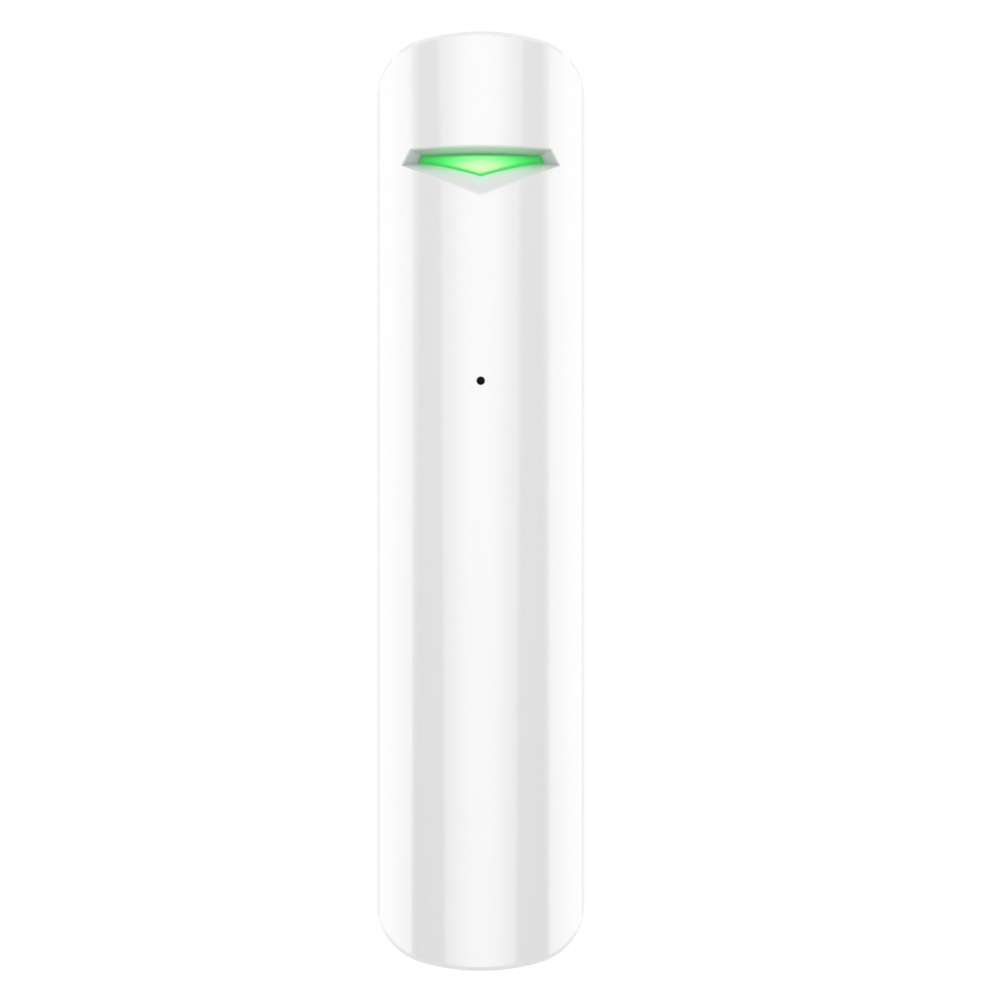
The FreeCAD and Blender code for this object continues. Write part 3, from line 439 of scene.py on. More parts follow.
@dataclass(frozen=True)
class Finish:
    """One material: a base look, and how far its surface varies.

    The grain's depth is in metres, and the rounding that is shaded on edges in millimetres.
    """

    slot: str
    colour: Colour
    roughness: float
    metallic: float = 0.0
    coat: float = 0.0
    coat_roughness: float = 0.03
    specular: float = 0.5
    grain_pitch: float = 5000.0
    grain_depth: float = 0.000004
    tone_change: float = 0.03
    gloss_change: float = 0.06
    dust: float = 0.05
    dust_colour: Colour = (0.62, 0.60, 0.56)
    edge_round: float = 0.0
    edge_samples: int = 6

    def start(self) -> tuple[Material, NodeSheet, Node]:
        """Makes the empty material.

        Returns:
            The material, its sheet, and its Principled node with the constants set on it.
        """
        material, sheet = NodeSheet.of_material(self.slot)
        material.diffuse_color = (*self.colour, 1.0)
        shader = sheet.add("ShaderNodeBsdfPrincipled", Metallic=self.metallic, Coat_Weight=self.coat,
                           Coat_Roughness=self.coat_roughness, Specular_IOR_Level=self.specular)
        sheet.add("ShaderNodeOutputMaterial", Surface=shader.outputs[0])
        return material, sheet, shader

    def group(self, sheet: NodeSheet, tree: NodeTree, **inputs: float) -> Node:
        """Places a shared effect with its inputs."""
        return sheet.add("ShaderNodeGroup", {"node_tree": tree}, **inputs)

    def colour_of(self, sheet: NodeSheet, effects: SharedEffects) -> object:
        """The base colour or its socket, which special finishes replace."""
        return self.colour

    def height_of(self, sheet: NodeSheet, effects: SharedEffects, grain: Node) -> Socket:
        """The relief, which special finishes replace."""
        return grain.outputs["Height"]

    def bare_metal(self, sheet: NodeSheet) -> object:
        """How metallic a point is, which finishes with bare places replace."""
        return self.metallic

    def build(self, effects: SharedEffects) -> Material:
        """Builds the material.

        Args:
            effects: The shared node groups.

        Returns:
            The finished material.
        """
        material, sheet, shader = self.start()
        sheet.feed(shader, "Metallic", self.bare_metal(sheet))
        grain = self.group(sheet, effects.grain, Pitch=self.grain_pitch)
        handling = self.group(sheet, effects.handling)
        base = self.colour_of(sheet, effects)
        darker = (1.0 - self.tone_change,) * 3
        toned = sheet.blend(grain.outputs["Tone"], base, sheet.blend(1.0, base, darker, "MULTIPLY"))
        dusty = sheet.maths("MULTIPLY", handling.outputs["Dust"], self.dust)
        sheet.feed(shader, "Base Color", sheet.blend(dusty, toned, self.dust_colour))
        spread = sheet.maths("MULTIPLY", handling.outputs["Smudge"], self.gloss_change)
        sheet.feed(shader, "Roughness", sheet.maths("ADD", spread, self.roughness - self.gloss_change / 2))
        relief = sheet.add("ShaderNodeBump", Strength=1.0, Distance=self.grain_depth,
                           Height=self.height_of(sheet, effects, grain))
        if self.edge_round > 0.0:
            soft = sheet.add("ShaderNodeBevel", {"samples": self.edge_samples},
                             Radius=self.edge_round * MM).outputs["Normal"]
            sheet.feed(relief, "Normal", soft)
            sheet.feed(shader, "Coat Normal", soft)
        sheet.feed(shader, "Normal", relief.outputs["Normal"])
        return material


@dataclass(frozen=True)
class PolishedPlastic(Finish):
    """Glossy moulding under a clear skin: the grain lies below the skin, so reflections stay straight.

    The roof and sides of the lit recess get painted shade in their colour, greyer than the case, and the wall
    under the lens gets a painted green glow from the lens. Margins and fades are in millimetres.
    """

    coat: float = 1.0
    grain_depth: float = 0.0000004
    # Painted shade for the recess's roof, sides and lower walls, and a painted green glow for the wall under
    # the lens
    roof_painted_shade: Colour = (0.62, 0.70, 0.66)
    side_painted_shade: Colour = (0.80, 0.77, 0.81)
    lower_painted_shade: Colour = (0.97, 0.97, 0.97)
    sill_painted_glow: Colour = (1.05, 1.13, 1.09)
    sill_flat: float = 0.2
    sill_fade: float = 1.2
    roof_margin: float = 0.28
    side_margin: float = 0.04
    skin: float = 0.2
    spare: float = 0.1
    front_of_axis: float = 1.5
    roof_facing: tuple[float, float] = (-0.8, -0.55)
    lower_facing: tuple[float, float] = (0.0, 0.5)

    def colour_of(self, sheet: NodeSheet, effects: SharedEffects) -> Socket:
        """The case's colour, with painted shade on the roof, sides and lower walls of the recess and a
        painted green glow below the lens.

        Args:
            sheet: The material's sheet.
            effects: The shared node groups.

        Returns:
            The colour socket.
        """
        outline = RecessOutline()
        # Painted shade and glow: darkened and greened copies of the case colour for the recess walls
        roof, side, lower, sill = (tuple(a * b for a, b in zip(self.colour, tone)) for tone in
                                   (self.roof_painted_shade, self.side_painted_shade, self.lower_painted_shade, self.sill_painted_glow))
        place = sheet.axes()
        upward = sheet.axes(sheet.add("ShaderNodeTexCoord").outputs["Normal"])["Z"]
        depth = sheet.maths("SUBTRACT", place["Y"], outline.axis_y * MM)
        radius = sheet.distance(place["X"], depth)
        margin = sheet.fade(upward, *self.roof_facing, self.roof_margin * MM, self.side_margin * MM)
        sunk = sheet.maths("SUBTRACT", outline.case_radius * MM, sheet.maths("ADD", radius, margin))
        share = sheet.fade(sunk, 0.0, self.skin * MM, 0.0, 1.0)
        foot, crown = outline.foot_z - self.spare, outline.foot_z + outline.mouth_crown + self.spare
        for test in (sheet.maths("LESS_THAN", depth, -self.front_of_axis * MM),
                     sheet.maths("GREATER_THAN", place["Z"], foot * MM),
                     sheet.maths("LESS_THAN", place["Z"], crown * MM)):
            share = sheet.maths("MULTIPLY", share, test)
        # Painted green glow from the lens on the wall just below it
        near_lens = sheet.fade(outline.above_sill(sheet, place), -self.sill_fade, -self.sill_flat, 0.0, 1.0)
        below = sheet.blend(near_lens, lower, sill)
        # Painted shade: walls facing down take the darker roof colour, the others the side colour
        above = sheet.blend(sheet.fade(upward, *self.roof_facing), side, roof)
        walls = sheet.blend(sheet.fade(upward, *self.lower_facing), below, above)
        return sheet.blend(share, self.colour, walls)


@dataclass(frozen=True)
class DrawnMetal(Finish):
    """Bare or plated metal with fine lines and slow stains."""

    metallic: float = 1.0
    lines_across: float = 9000.0
    lines_along: float = 300.0
    stain_colour: Colour = (0.42, 0.40, 0.36)
    stain: float = 0.25
    stain_contrast: float = 3.0

    def drawn(self, sheet: NodeSheet, effects: SharedEffects) -> dict:
        """The lines and stains of the metal."""
        return self.group(sheet, effects.drawn_metal, Across=self.lines_across,
                          Along=self.lines_along).outputs

    def colour_of(self, sheet: NodeSheet, effects: SharedEffects) -> Socket:
        """The metal's colour with its stains.

        Args:
            sheet: The material's sheet.
            effects: The shared node groups.

        Returns:
            The colour socket.
        """
        stains = sheet.maths("POWER", self.drawn(sheet, effects)["Stain"], self.stain_contrast)
        share = sheet.maths("MULTIPLY", stains, self.stain)
        return sheet.blend(share, self.colour, self.stain_colour)

    def height_of(self, sheet: NodeSheet, effects: SharedEffects, grain: Node) -> Socket:
        """The relief of the drawn lines."""
        return self.drawn(sheet, effects)["Lines"]


@dataclass(frozen=True)
class WovenSheet(Finish):
    """Cloth or laminate with a plain weave."""

    weave_pitch: float = 30000.0
    thread_colour: Colour = (0.10, 0.10, 0.10)

    def colour_of(self, sheet: NodeSheet, effects: SharedEffects) -> Socket:
        """The ground colour between paler threads."""
        weave = self.group(sheet, effects.weave, Pitch=self.weave_pitch)
        return sheet.blend(weave.outputs["Thread"], self.colour, self.thread_colour)

    def height_of(self, sheet: NodeSheet, effects: SharedEffects, grain: Node) -> Socket:
        """The relief of the threads."""
        return self.group(sheet, effects.weave, Pitch=self.weave_pitch).outputs["Thread"]


@dataclass(frozen=True)
class BandedWrap(Finish):
    """Shrunk film round the cell: a dark wrap with a pale band, and bare metal at both ends, in metres."""

    coat: float = 0.6
    band_colour: Colour = (0.70, 0.71, 0.72)
    metal_colour: Colour = (0.66, 0.65, 0.62)
    band_width: float = 0.004
    bare_top: float = 0.002
    bare_foot: float = 0.0006

    def bare_metal(self, sheet: NodeSheet) -> Socket:
        """How metallic the wrap is at a point.

        Args:
            sheet: The material's sheet.

        Returns:
            The socket, which gives one on the bare ends and zero on the film.
        """
        low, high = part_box("battery_cell")
        height = sheet.axes()["Z"]
        return sheet.maths("MAXIMUM", sheet.maths("GREATER_THAN", height, high.z - self.bare_top),
                           sheet.maths("LESS_THAN", height, low.z + self.bare_foot))

    def colour_of(self, sheet: NodeSheet, effects: SharedEffects) -> Socket:
        """The wrap, its band near the pole, and the bare ends.

        Args:
            sheet: The material's sheet.
            effects: The shared node groups.

        Returns:
            The colour socket.
        """
        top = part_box("battery_cell")[1].z
        above = sheet.maths("GREATER_THAN", sheet.axes()["Z"], top - self.bare_top - self.band_width)
        banded = sheet.blend(above, self.colour, self.band_colour)
        return sheet.blend(self.bare_metal(sheet), banded, self.metal_colour)


@dataclass(frozen=True)
class LitGuide(Finish):
    """Milky clear guide, lit from behind: pale over the LED, greener towards its ends and its rim.

    Its glow, rims and ends are measured in millimetres.
    """

    core: tuple[tuple[float, Colour], ...] = (
        (0.0, (0.62, 0.82, 0.44)), (0.20, (0.54, 0.82, 0.40)), (0.34, (0.36, 0.82, 0.31)),
        (0.54, (0.09, 0.80, 0.15)), (0.78, (0.03, 0.60, 0.09)), (0.94, (0.03, 0.38, 0.06)))
    cloud: float = 0.04
    dulling: float = 0.05
    half_glow_width: float = 6.4
    half_glow_height: float = 2.1
    glow_above_tip: float = 1.04
    strength: float = 1.0
    rim_colour: Colour = (0.035, 0.30, 0.055)
    rim_flat: float = 0.10
    rim_fade: float = 0.38
    sill_colour: Colour = (0.05, 0.50, 0.09)
    end_colour: Colour = (0.045, 0.33, 0.065)
    end_start: float = 3.6
    end_full: float = 5.4
    sill_flat: float = 0.22
    sill_fade: float = 0.52

    def rim_shares(self, sheet: NodeSheet, place: dict) -> list[Socket]:
        """How far a point belongs to the darker line round the lens, below and above.

        Args:
            sheet: The material's sheet.
            place: The point's coordinate sockets by axis.

        Returns:
            The share of the lower line, and that of the upper line and the ends.
        """
        outline = RecessOutline()
        across, height = outline.point_in(sheet, place)
        side_x, side_z = outline.lens_side
        top_x, top_z = outline.lens_top
        arch = (outline.lens_crown - top_z) / top_x ** 2
        roof = sheet.maths("MULTIPLY_ADD", sheet.maths("MULTIPLY", across, across), -arch, outline.lens_crown)
        to_roof = sheet.maths("SUBTRACT", roof, height)
        length = math.hypot(side_x - top_x, top_z - side_z)
        lean, stand = (side_x - top_x) / length, (top_z - side_z) / length
        to_side = sheet.maths("ADD", sheet.maths("MULTIPLY", sheet.maths("SUBTRACT", side_x, across), stand),
                              sheet.maths("MULTIPLY", sheet.maths("SUBTRACT", side_z, height), lean))
        return [sheet.fade(outline.above_sill(sheet, place), self.sill_flat, self.sill_fade),
                sheet.fade(sheet.maths("MINIMUM", to_roof, to_side), self.rim_flat, self.rim_fade)]

    def build(self, effects: SharedEffects) -> Material:
        """Builds the material with its glow.

        Args:
            effects: The shared node groups.

        Returns:
            The finished material.
        """
        material, sheet, shader = self.start()
        grain = self.group(sheet, effects.grain, Pitch=self.grain_pitch)
        place = sheet.axes()
        centre_z = RecessOutline().lens_tip_z + self.glow_above_tip
        across = sheet.maths("DIVIDE", place["X"], self.half_glow_width * MM)
        up = sheet.maths("DIVIDE", sheet.maths("SUBTRACT", place["Z"], centre_z * MM),
                         self.half_glow_height * MM)
        cloudy = sheet.maths("ADD", sheet.distance(across, up),
                             sheet.maths("MULTIPLY", grain.outputs["Tone"], self.cloud))
        core = sheet.ramp(cloudy, self.core, "B_SPLINE")
        below, above = self.rim_shares(sheet, place)
        at_end = sheet.fade(sheet.maths("ABSOLUTE", place["X"]), self.end_start * MM, self.end_full * MM,
                            0.0, 1.0)
        sill = sheet.blend(at_end, self.sill_colour, self.end_colour)
        glow = sheet.blend(above, sheet.blend(below, core, sill), self.rim_colour)
        sheet.feed(shader, "Base Color", (*self.colour, 1.0))
        dulled = sheet.maths("MULTIPLY", grain.outputs["Tone"], self.dulling)
        sheet.feed(shader, "Roughness", sheet.maths("ADD", dulled, self.roughness))
        sheet.feed(shader, "Emission Color", glow)
        sheet.feed(shader, "Emission Strength", self.strength)
        return material


FINISHES: tuple[Finish, ...] = (
    Finish("bracket_plastic", (0.80, 0.80, 0.79), 0.46, grain_pitch=3800.0, grain_depth=0.000008),
    PolishedPlastic("case_plastic", (0.83, 0.83, 0.83), 0.10, gloss_change=0.02, tone_change=0.01, dust=0.0,
                    edge_round=0.16),
    DrawnMetal("screw_steel", (0.62, 0.62, 0.60), 0.30),
    WovenSheet("board_laminate", (0.012, 0.10, 0.045), 0.35, coat=0.3, weave_pitch=9000.0,
               thread_colour=(0.018, 0.14, 0.06)),
    BandedWrap("cell_wrap", (0.025, 0.03, 0.05), 0.30),
    DrawnMetal("contact_nickel", (0.70, 0.69, 0.66), 0.25),
    Finish("lead_insulation", (0.02, 0.02, 0.02), 0.42),
    LitGuide("guide_clear", (0.03, 0.22, 0.05), 0.22, specular=0.3),
    Finish("led_resin", (0.78, 0.85, 0.60), 0.15, coat=0.5),
    DrawnMetal("capsule_aluminium", (0.80, 0.80, 0.81), 0.28),
    Finish("boot_rubber", (0.025, 0.025, 0.025), 0.75, specular=0.3),
    WovenSheet("mesh_cloth", (0.004, 0.004, 0.004), 0.7, thread_colour=(0.03, 0.03, 0.03)),
    DrawnMetal("shield_tin", (0.74, 0.74, 0.72), 0.24),
    Finish("chip_resin", (0.02, 0.02, 0.022), 0.55),
    DrawnMetal("crystal_can", (0.78, 0.76, 0.70), 0.22),
    Finish("passive_ceramic", (0.36, 0.26, 0.16), 0.4, tone_change=0.2),
    DrawnMetal("capacitor_can", (0.78, 0.78, 0.80), 0.24),
    DrawnMetal("antenna_brass", (0.80, 0.60, 0.28), 0.22),
    Finish("switch_black", (0.025, 0.025, 0.026), 0.45),
    Finish("stem_plastic", (0.08, 0.08, 0.085), 0.40),
    Finish("button_plastic", (0.40, 0.41, 0.43), 0.38),
    DrawnMetal("spring_steel", (0.66, 0.66, 0.66), 0.20),
    Finish("terminal_plastic", (0.05, 0.22, 0.09), 0.38),
    DrawnMetal("clamp_brass", (0.78, 0.66, 0.38), 0.25),
)

SLOT_OF_NODE: dict[str, str] = {
    "mounting_bracket": "bracket_plastic",
    "front_cover": "case_plastic",
    "rear_cover": "case_plastic",
    "case_screw_upper": "screw_steel",
    "case_screw_lower": "screw_steel",
    "circuit_board": "board_laminate",
    "battery_cell": "cell_wrap",
    "positive_contact": "contact_nickel",
    "negative_contact": "contact_nickel",
    "negative_lead": "lead_insulation",
    "light_guide": "guide_clear",
    "status_led": "led_resin",
    "microphone_capsule": "capsule_aluminium",
    "microphone_boot": "boot_rubber",
    "dust_mesh": "mesh_cloth",
    "radio_shield": "shield_tin",
    "microcontroller": "chip_resin",
    "crystal": "crystal_can",
    "chip_passives": "passive_ceramic",
    "capacitor": "capacitor_can",
    "antenna_coil": "antenna_brass",
    "power_switch_body": "switch_black",
    "tamper_switch_body": "switch_black",
    "power_switch_stem": "stem_plastic",
    "tamper_switch_stem": "stem_plastic",
    "tamper_plunger": "stem_plastic",
    "power_button_cap": "button_plastic",
    "tamper_spring": "spring_steel",
    "terminal_block": "terminal_plastic",
    "terminal_clamps": "clamp_brass",
}


class Workbench:
    """Blender's own modelling tools in short calls. Places and lengths are the frame's, in millimetres.

    Faces of a copied mesh that lie within flat_angle degrees of each other become one, and one turn of a
    coil has coil_steps facets.
    """

    flat_angle = 0.5
    coil_steps = 28

    def __init__(self, materials: dict[str, Material]) -> None:
        """Keeps the finishes that pieces are dressed with.

        Args:
            materials: The finished materials by slot.
        """
        self.materials = materials

    def free(self) -> None:
        """Leaves edit mode and deselects everything."""
        if bpy.context.mode != "OBJECT":
            bpy.ops.object.mode_set(mode="OBJECT")
        bpy.ops.object.select_all(action="DESELECT")

    def hold(self, piece: Piece) -> None:
        """Makes one piece the only selected and the active object.

        Args:
            piece: The piece to work on.
        """
        self.free()
        piece.select_set(True)
        bpy.context.view_layer.objects.active = piece

    def take(self, name: str) -> Piece:
        """Names the object that was just added and puts its place into its mesh.

        Args:
            name: The piece's name.

        Returns:
            The piece.
        """
        piece = bpy.context.object
        piece.name = name
        piece.data.name = name
        bpy.ops.object.transform_apply(location=True, rotation=True, scale=True)
        return piece

    def select(self, piece: Piece, kind: Element, test: Callable[[object], bool]) -> int:
        """Opens a piece for editing and selects the elements that pass a test.

        Args:
            piece: The piece to edit.
            kind: Vertices or edges.
            test: Takes one element and says whether it is wanted.

        Returns:
            How many were selected.
        """
        self.hold(piece)
        bpy.ops.object.mode_set(mode="EDIT")
        bpy.ops.mesh.select_mode(type=kind.value)
        bpy.ops.mesh.select_all(action="DESELECT")
        mesh = bmesh.from_edit_mesh(piece.data)
        elements = mesh.verts if kind is Element.VERTS else mesh.edges
        found = [element for element in elements if test(element)]
        for element in found:
            element.select_set(True)
        mesh.select_flush_mode()
        bmesh.update_edit_mesh(piece.data)
        return len(found)

    def select_whole(self, piece: Piece) -> None:
        """Opens a piece for editing with all of it selected.

        Args:
            piece: The piece to edit.
        """
        self.hold(piece)
        bpy.ops.object.mode_set(mode="EDIT")
        bpy.ops.mesh.select_mode(type=Element.VERTS.value)
        bpy.ops.mesh.select_all(action="SELECT")

    def clean(self, piece: Piece) -> None:
        """Merges doubled vertices and turns the faces outwards.

        Args:
            piece: The piece to clean.
        """
        self.select_whole(piece)
        bpy.ops.mesh.remove_doubles(threshold=MERGE)
        bpy.ops.mesh.normals_make_consistent(inside=False)
        self.free()

    def modify(self, piece: Piece, kind: str, **settings: object) -> None:
        """Adds a modifier and applies it.

        Args:
            piece: The piece.
            kind: The modifier's type name.
            **settings: The modifier's properties.
        """
        self.hold(piece)
        modifier = piece.modifiers.new(kind.lower(), kind)
        for name, value in settings.items():
            setattr(modifier, name, value)
        bpy.ops.object.modifier_apply(modifier=modifier.name)

    def copy_of(self, node: str, name: str) -> Piece:
        """Takes a merged copy of a frame node's mesh, with its flat faces whole again.

        Args:
            node: The node to copy.
            name: The new piece's name.

        Returns:
            The new piece.
        """
        piece = bpy.data.objects.new(name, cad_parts[node].data.copy())
        bpy.context.collection.objects.link(piece)
        self.hold(piece)
        bpy.ops.mesh.customdata_custom_splitnormals_clear()
        self.select_whole(piece)
        bpy.ops.mesh.remove_doubles(threshold=MERGE)
        bpy.ops.mesh.dissolve_limited(angle_limit=math.radians(self.flat_angle))
        self.free()
        return piece

    def block(self, name: str, low: Sequence[float], high: Sequence[float]) -> Piece:
        """Adds a cube stretched between two corners, as the start of a piece.

        Args:
            name: The piece's name.
            low: Lowest corner.
            high: Highest corner.

        Returns:
            The piece.
        """
        self.free()
        middle = [(a + b) / 2 * MM for a, b in zip(low, high)]
        bpy.ops.mesh.primitive_cube_add(size=1.0, location=middle)
        bpy.context.object.scale = [(b - a) * MM for a, b in zip(low, high)]
        return self.take(name)

    def draw(self, name: str, points: Sequence[Vector]) -> Piece:
        """Draws a bent line with one vertex, which is pushed out from point to point.

        Args:
            name: The piece's name.
            points: The line's points, in metres.

        Returns:
            The piece, open for editing and selected as a whole.
        """
        self.free()
        bpy.ops.mesh.primitive_plane_add(size=MM, location=points[0])
        piece = self.take(name)
        self.select_whole(piece)
        bpy.ops.mesh.merge(type="CENTER")
        for before, after in zip(points, points[1:]):
            bpy.ops.mesh.extrude_region_move(TRANSFORM_OT_translate={"value": after - before})
        bpy.ops.mesh.select_all(action="SELECT")
        return piece

    def lathe(self, name: str, foot: Sequence[float], axis: Axis, profile: Outline,
              steps: int = 48) -> Piece:
        """Turns a round piece: its profile is drawn and spun round the axis.

        Args:
            name: The piece's name.
            foot: Point on the axis that the profile is measured from.
            axis: Direction of the axis.
            profile: Distance along the axis and radius of each point. It starts and ends on the axis, or
                ends where it starts.
            steps: Facets round the piece.

        Returns:
            The piece.
        """
        side = axis.way.orthogonal().normalized()
        base = Vector(foot) * MM
        piece = self.draw(name, [base + axis.way * (along * MM) + side * (radius * MM)
                                 for along, radius in profile])
        bpy.ops.mesh.remove_doubles(threshold=MERGE)
        bpy.ops.mesh.spin(steps=steps, angle=2 * math.pi, center=base, axis=axis.way)
        self.clean(piece)
        return piece

    def helix(self, name: str, foot: Sequence[float], axis: Axis, radius: float, wire: float, pitch: float,
              turns: float, sides: int = 8, start: float = 0.0) -> Piece:
        """Winds round wire: a ring is set beside the axis and carried round it by a Screw modifier.

        Args:
            name: The piece's name.
            foot: Start of the axis.
            axis: Direction of the axis.
            radius: From the axis to the wire's middle.
            wire: The wire's diameter.
            pitch: Rise of one turn.
            turns: Number of turns.
            sides: Facets round the wire.
            start: Degrees that the wire's start is turned about the axis.

        Returns:
            The piece.
        """
        self.free()
        bpy.ops.mesh.primitive_circle_add(vertices=sides, radius=wire / 2 * MM,
                                          rotation=(math.pi / 2, 0.0, 0.0))
        piece = self.take(name)
        self.select_whole(piece)
        bpy.ops.transform.translate(value=(radius * MM, 0.0, 0.0))
        steps = round(self.coil_steps * turns)
        self.modify(piece, "SCREW", angle=2 * math.pi * turns, screw_offset=pitch * turns * MM, steps=steps,
                    render_steps=steps)
        self.select_whole(piece)
        bpy.ops.mesh.fill_holes(sides=0)
        self.hold(piece)
        turned = Quaternion((0.0, 0.0, 1.0), math.radians(start))
        piece.rotation_euler = (axis.way.to_track_quat("Z", "Y") @ turned).to_euler()
        piece.location = Vector(foot) * MM
        bpy.ops.object.transform_apply(location=True, rotation=True, scale=True)
        self.clean(piece)
        return piece

    def strip(self, name: str, path: Sequence[Sequence[float]], run: Sequence[float],
              sheet: float) -> Piece:
        """Bends sheet metal: a path is drawn, pushed out to the strip's width, and given a wall.

        Args:
            name: The piece's name.
            path: Points of the bent line.
            run: The strip's width as a move.
            sheet: Thickness of the metal.

        Returns:
            The piece.
        """
        piece = self.draw(name, [Vector(point) * MM for point in path])
        bpy.ops.mesh.extrude_region_move(TRANSFORM_OT_translate={"value": Vector(run) * MM})
        self.modify(piece, "SOLIDIFY", thickness=sheet * MM, offset=0.0, use_even_offset=True)
        self.clean(piece)
        return piece

    def soften(self, piece: Piece, width: float, segments: int = 2, angle: float = 35.0) -> None:
        """Rounds every edge that is sharper than an angle.

        Args:
            piece: The piece.
            width: Width of the rounding.
            segments: Facets across it.
            angle: The angle in degrees.
        """
        self.modify(piece, "BEVEL", width=width * MM, segments=segments, limit_method="ANGLE",
                    angle_limit=math.radians(angle))

    def round_edges(self, piece: Piece, width: float, test: Callable[[Vector], bool],
                    segments: int = 3, angle: float = 30.0) -> None:
        """Rounds the sharp edges whose two ends pass a test.

        Args:
            piece: The piece.
            width: Width of the rounding.
            test: Takes an edge's end and says whether it is wanted.
            segments: Facets across it.
            angle: Edges flatter than this many degrees are left alone.
        """
        def wanted(edge: bmesh.types.BMEdge) -> bool:
            """Whether the edge is sharp and both its ends pass."""
            return (len(edge.link_faces) == 2 and edge.calc_face_angle() > math.radians(angle)
                    and all(test(vertex.co / MM) for vertex in edge.verts))

        found = self.select(piece, Element.EDGES, wanted)
        if found:
            bpy.ops.mesh.bevel(offset=width * MM, segments=segments, profile=0.5, affect="EDGES",
                               clamp_overlap=True)
        self.free()
        LOG.info("%s: rounded %d edges", piece.name, found)

    def carve(self, piece: Piece, tool: Piece) -> None:
        """Cuts a tool's shape out of a piece and deletes the tool."""
        self.modify(piece, "BOOLEAN", operation="DIFFERENCE", solver="EXACT", object=tool)
        bpy.data.objects.remove(tool)

    def unite(self, piece: Piece, *others: Piece) -> None:
        """Joins other pieces' meshes to a piece, each as its own closed shell.

        Args:
            piece: The piece that stays.
            *others: The pieces that become part of it.
        """
        self.hold(piece)
        for other in others:
            other.select_set(True)
        bpy.ops.object.join()
        self.free()

    def twin(self, piece: Piece, name: str, shift: Sequence[float]) -> Piece:
        """Copies a piece with its own mesh and moves the copy.

        Args:
            piece: The piece to copy.
            name: The copy's name.
            shift: The move.

        Returns:
            The copy.
        """
        self.hold(piece)
        bpy.ops.object.duplicate_move(TRANSFORM_OT_translate={"value": [length * MM for length in shift]})
        return self.take(name)

    def row(self, piece: Piece, count: int, pitch: float) -> None:
        """Copies a piece up a row and joins the copies to it.

        Args:
            piece: The lowest piece of the row.
            count: How many pieces the row has.
            pitch: Distance from one to the next.
        """
        copies = [self.twin(piece, "row_copy", (0.0, 0.0, index * pitch)) for index in range(1, count)]
        self.unite(piece, *copies)

    def slice(self, piece: Piece, point: Sequence[float], away: Sequence[float]) -> None:
        """Cuts off what lies beyond a plane and closes the cut.

        Args:
            piece: The piece.
            point: A point on the plane.
            away: The plane's normal, towards what is cut off.
        """
        self.select_whole(piece)
        bpy.ops.mesh.bisect(plane_co=Vector(point) * MM, plane_no=away, use_fill=True, clear_outer=True)
        self.free()

    def hand_over(self, piece: Piece, slot: str, *nodes: str, body: Body = Body.DETECTOR,
                  smooth: float = 35.0) -> None:
        """Shades a finished piece, dresses it with its slot's finish, hangs it on its body and hides the
        nodes it stands for.
            body: The body that it rides.
            smooth: Faces that meet at less than this many degrees look like one surface.
        """
        self.hold(piece)
        bpy.ops.object.shade_smooth_by_angle(angle=math.radians(smooth), keep_sharp_edges=False)
        piece.data.materials.clear()
        piece.data.materials.append(self.materials[slot])
        self.free()
        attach(piece, body.value)
        if nodes:
            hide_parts(*nodes)
        LOG.info("%s: %d faces on %s", piece.name, len(piece.data.polygons), body.value)


class Box(NamedTuple):
    """A node's lowest corner, highest corner and middle, in millimetres."""

    low: Vector
    high: Vector
    middle: Vector

    @property
    def size(self) -> Vector:
        """The lengths of its sides."""
        return self.high - self.low

    def foot(self, axis: Axis) -> tuple[float, ...]:
        """The middle of the face that an axis starts from."""
        return tuple((low if way > 0.0 else high) if way else middle
                     for low, high, middle, way in zip(*self, axis.value))

    def on_rim(self, point: Vector) -> bool:
        """Whether a point lies on one of the four sides, seen from the front or the back."""
        return max(abs(point.x - self.middle.x) - self.size.x / 2,
                   abs(point.z - self.middle.z) - self.size.z / 2) > -TOUCH


def place_of(node: str) -> Box:
    """Reads a node's box from the frame.

    Args:
        node: The node's name.

    Returns:
        The box in millimetres.
    """
    low, high = (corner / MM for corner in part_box(node))
    return Box(low, high, (low + high) / 2)


@dataclass
class Assembly:
    """A sub-assembly of the detector, with its sizes in millimetres."""

    bench: Workbench

    def build(self) -> None:
        """Makes the pieces and hands them over. Each sub-assembly does it in its own way."""
        raise NotImplementedError


@dataclass
class LightGuide(Assembly):
    """The lit V lens in the recess, with the flange, entry and legs behind it."""

    columns: int = 48
    lens_radius: float = 8.2
    proud: float = 0.16
    rim: float = 0.2
    gap: float = 0.04
    lens_depth: float = 3.0
    rear_start: float = 2.6

    def build(self) -> None:
        """Makes the lens and joins it to the rear of the guide."""
        front = place_of("light_guide").low.y
        lens = self.lens(front - self.proud, front + self.lens_depth)
        rear = self.bench.copy_of("light_guide", "guide_rear")
        self.bench.slice(rear, (0.0, front + self.rear_start, 0.0), (0.0, -1.0, 0.0))
        self.bench.unite(lens, rear)
        self.bench.hand_over(lens, "guide_clear", "light_guide", smooth=40.0)

    def lens(self, front_y: float, back_y: float) -> Piece:
        """Shapes the lens from a one-row grid, pushes it back and rounds its rim.

        Args:
            front_y: The foremost point.
            back_y: Where it ends inside the guide.

        Returns:
            The lens.
        """
        bench, outline = self.bench, RecessOutline()
        bench.free()
        bpy.ops.mesh.primitive_grid_add(x_subdivisions=self.columns, y_subdivisions=1, size=2.0,
                                        rotation=(math.pi / 2, 0.0, 0.0))
        lens = bench.take("light_guide_lit")
        radius = self.lens_radius + self.proud
        for vertex in lens.data.vertices:
            upper = vertex.co.z > 0.0
            x = vertex.co.x * ((outline.lens_top if upper else outline.lens_side)[0] - self.gap)
            z = outline.lens_roof(x) - self.gap if upper else outline.lens_sill(x) + self.gap
            vertex.co = Vector((x, front_y + radius - math.sqrt(radius ** 2 - x ** 2), z)) * MM
        bench.select_whole(lens)
        back = (0.0, (back_y - front_y) * MM, 0.0)
        bpy.ops.mesh.extrude_region_move(TRANSFORM_OT_translate={"value": back})
        bpy.ops.transform.resize(value=(1.0, 0.0, 1.0), center_override=(0.0, back_y * MM, 0.0))
        bench.clean(lens)
        bench.round_edges(lens, self.rim, lambda end: end.y < back_y - TOUCH, segments=4)
        return lens


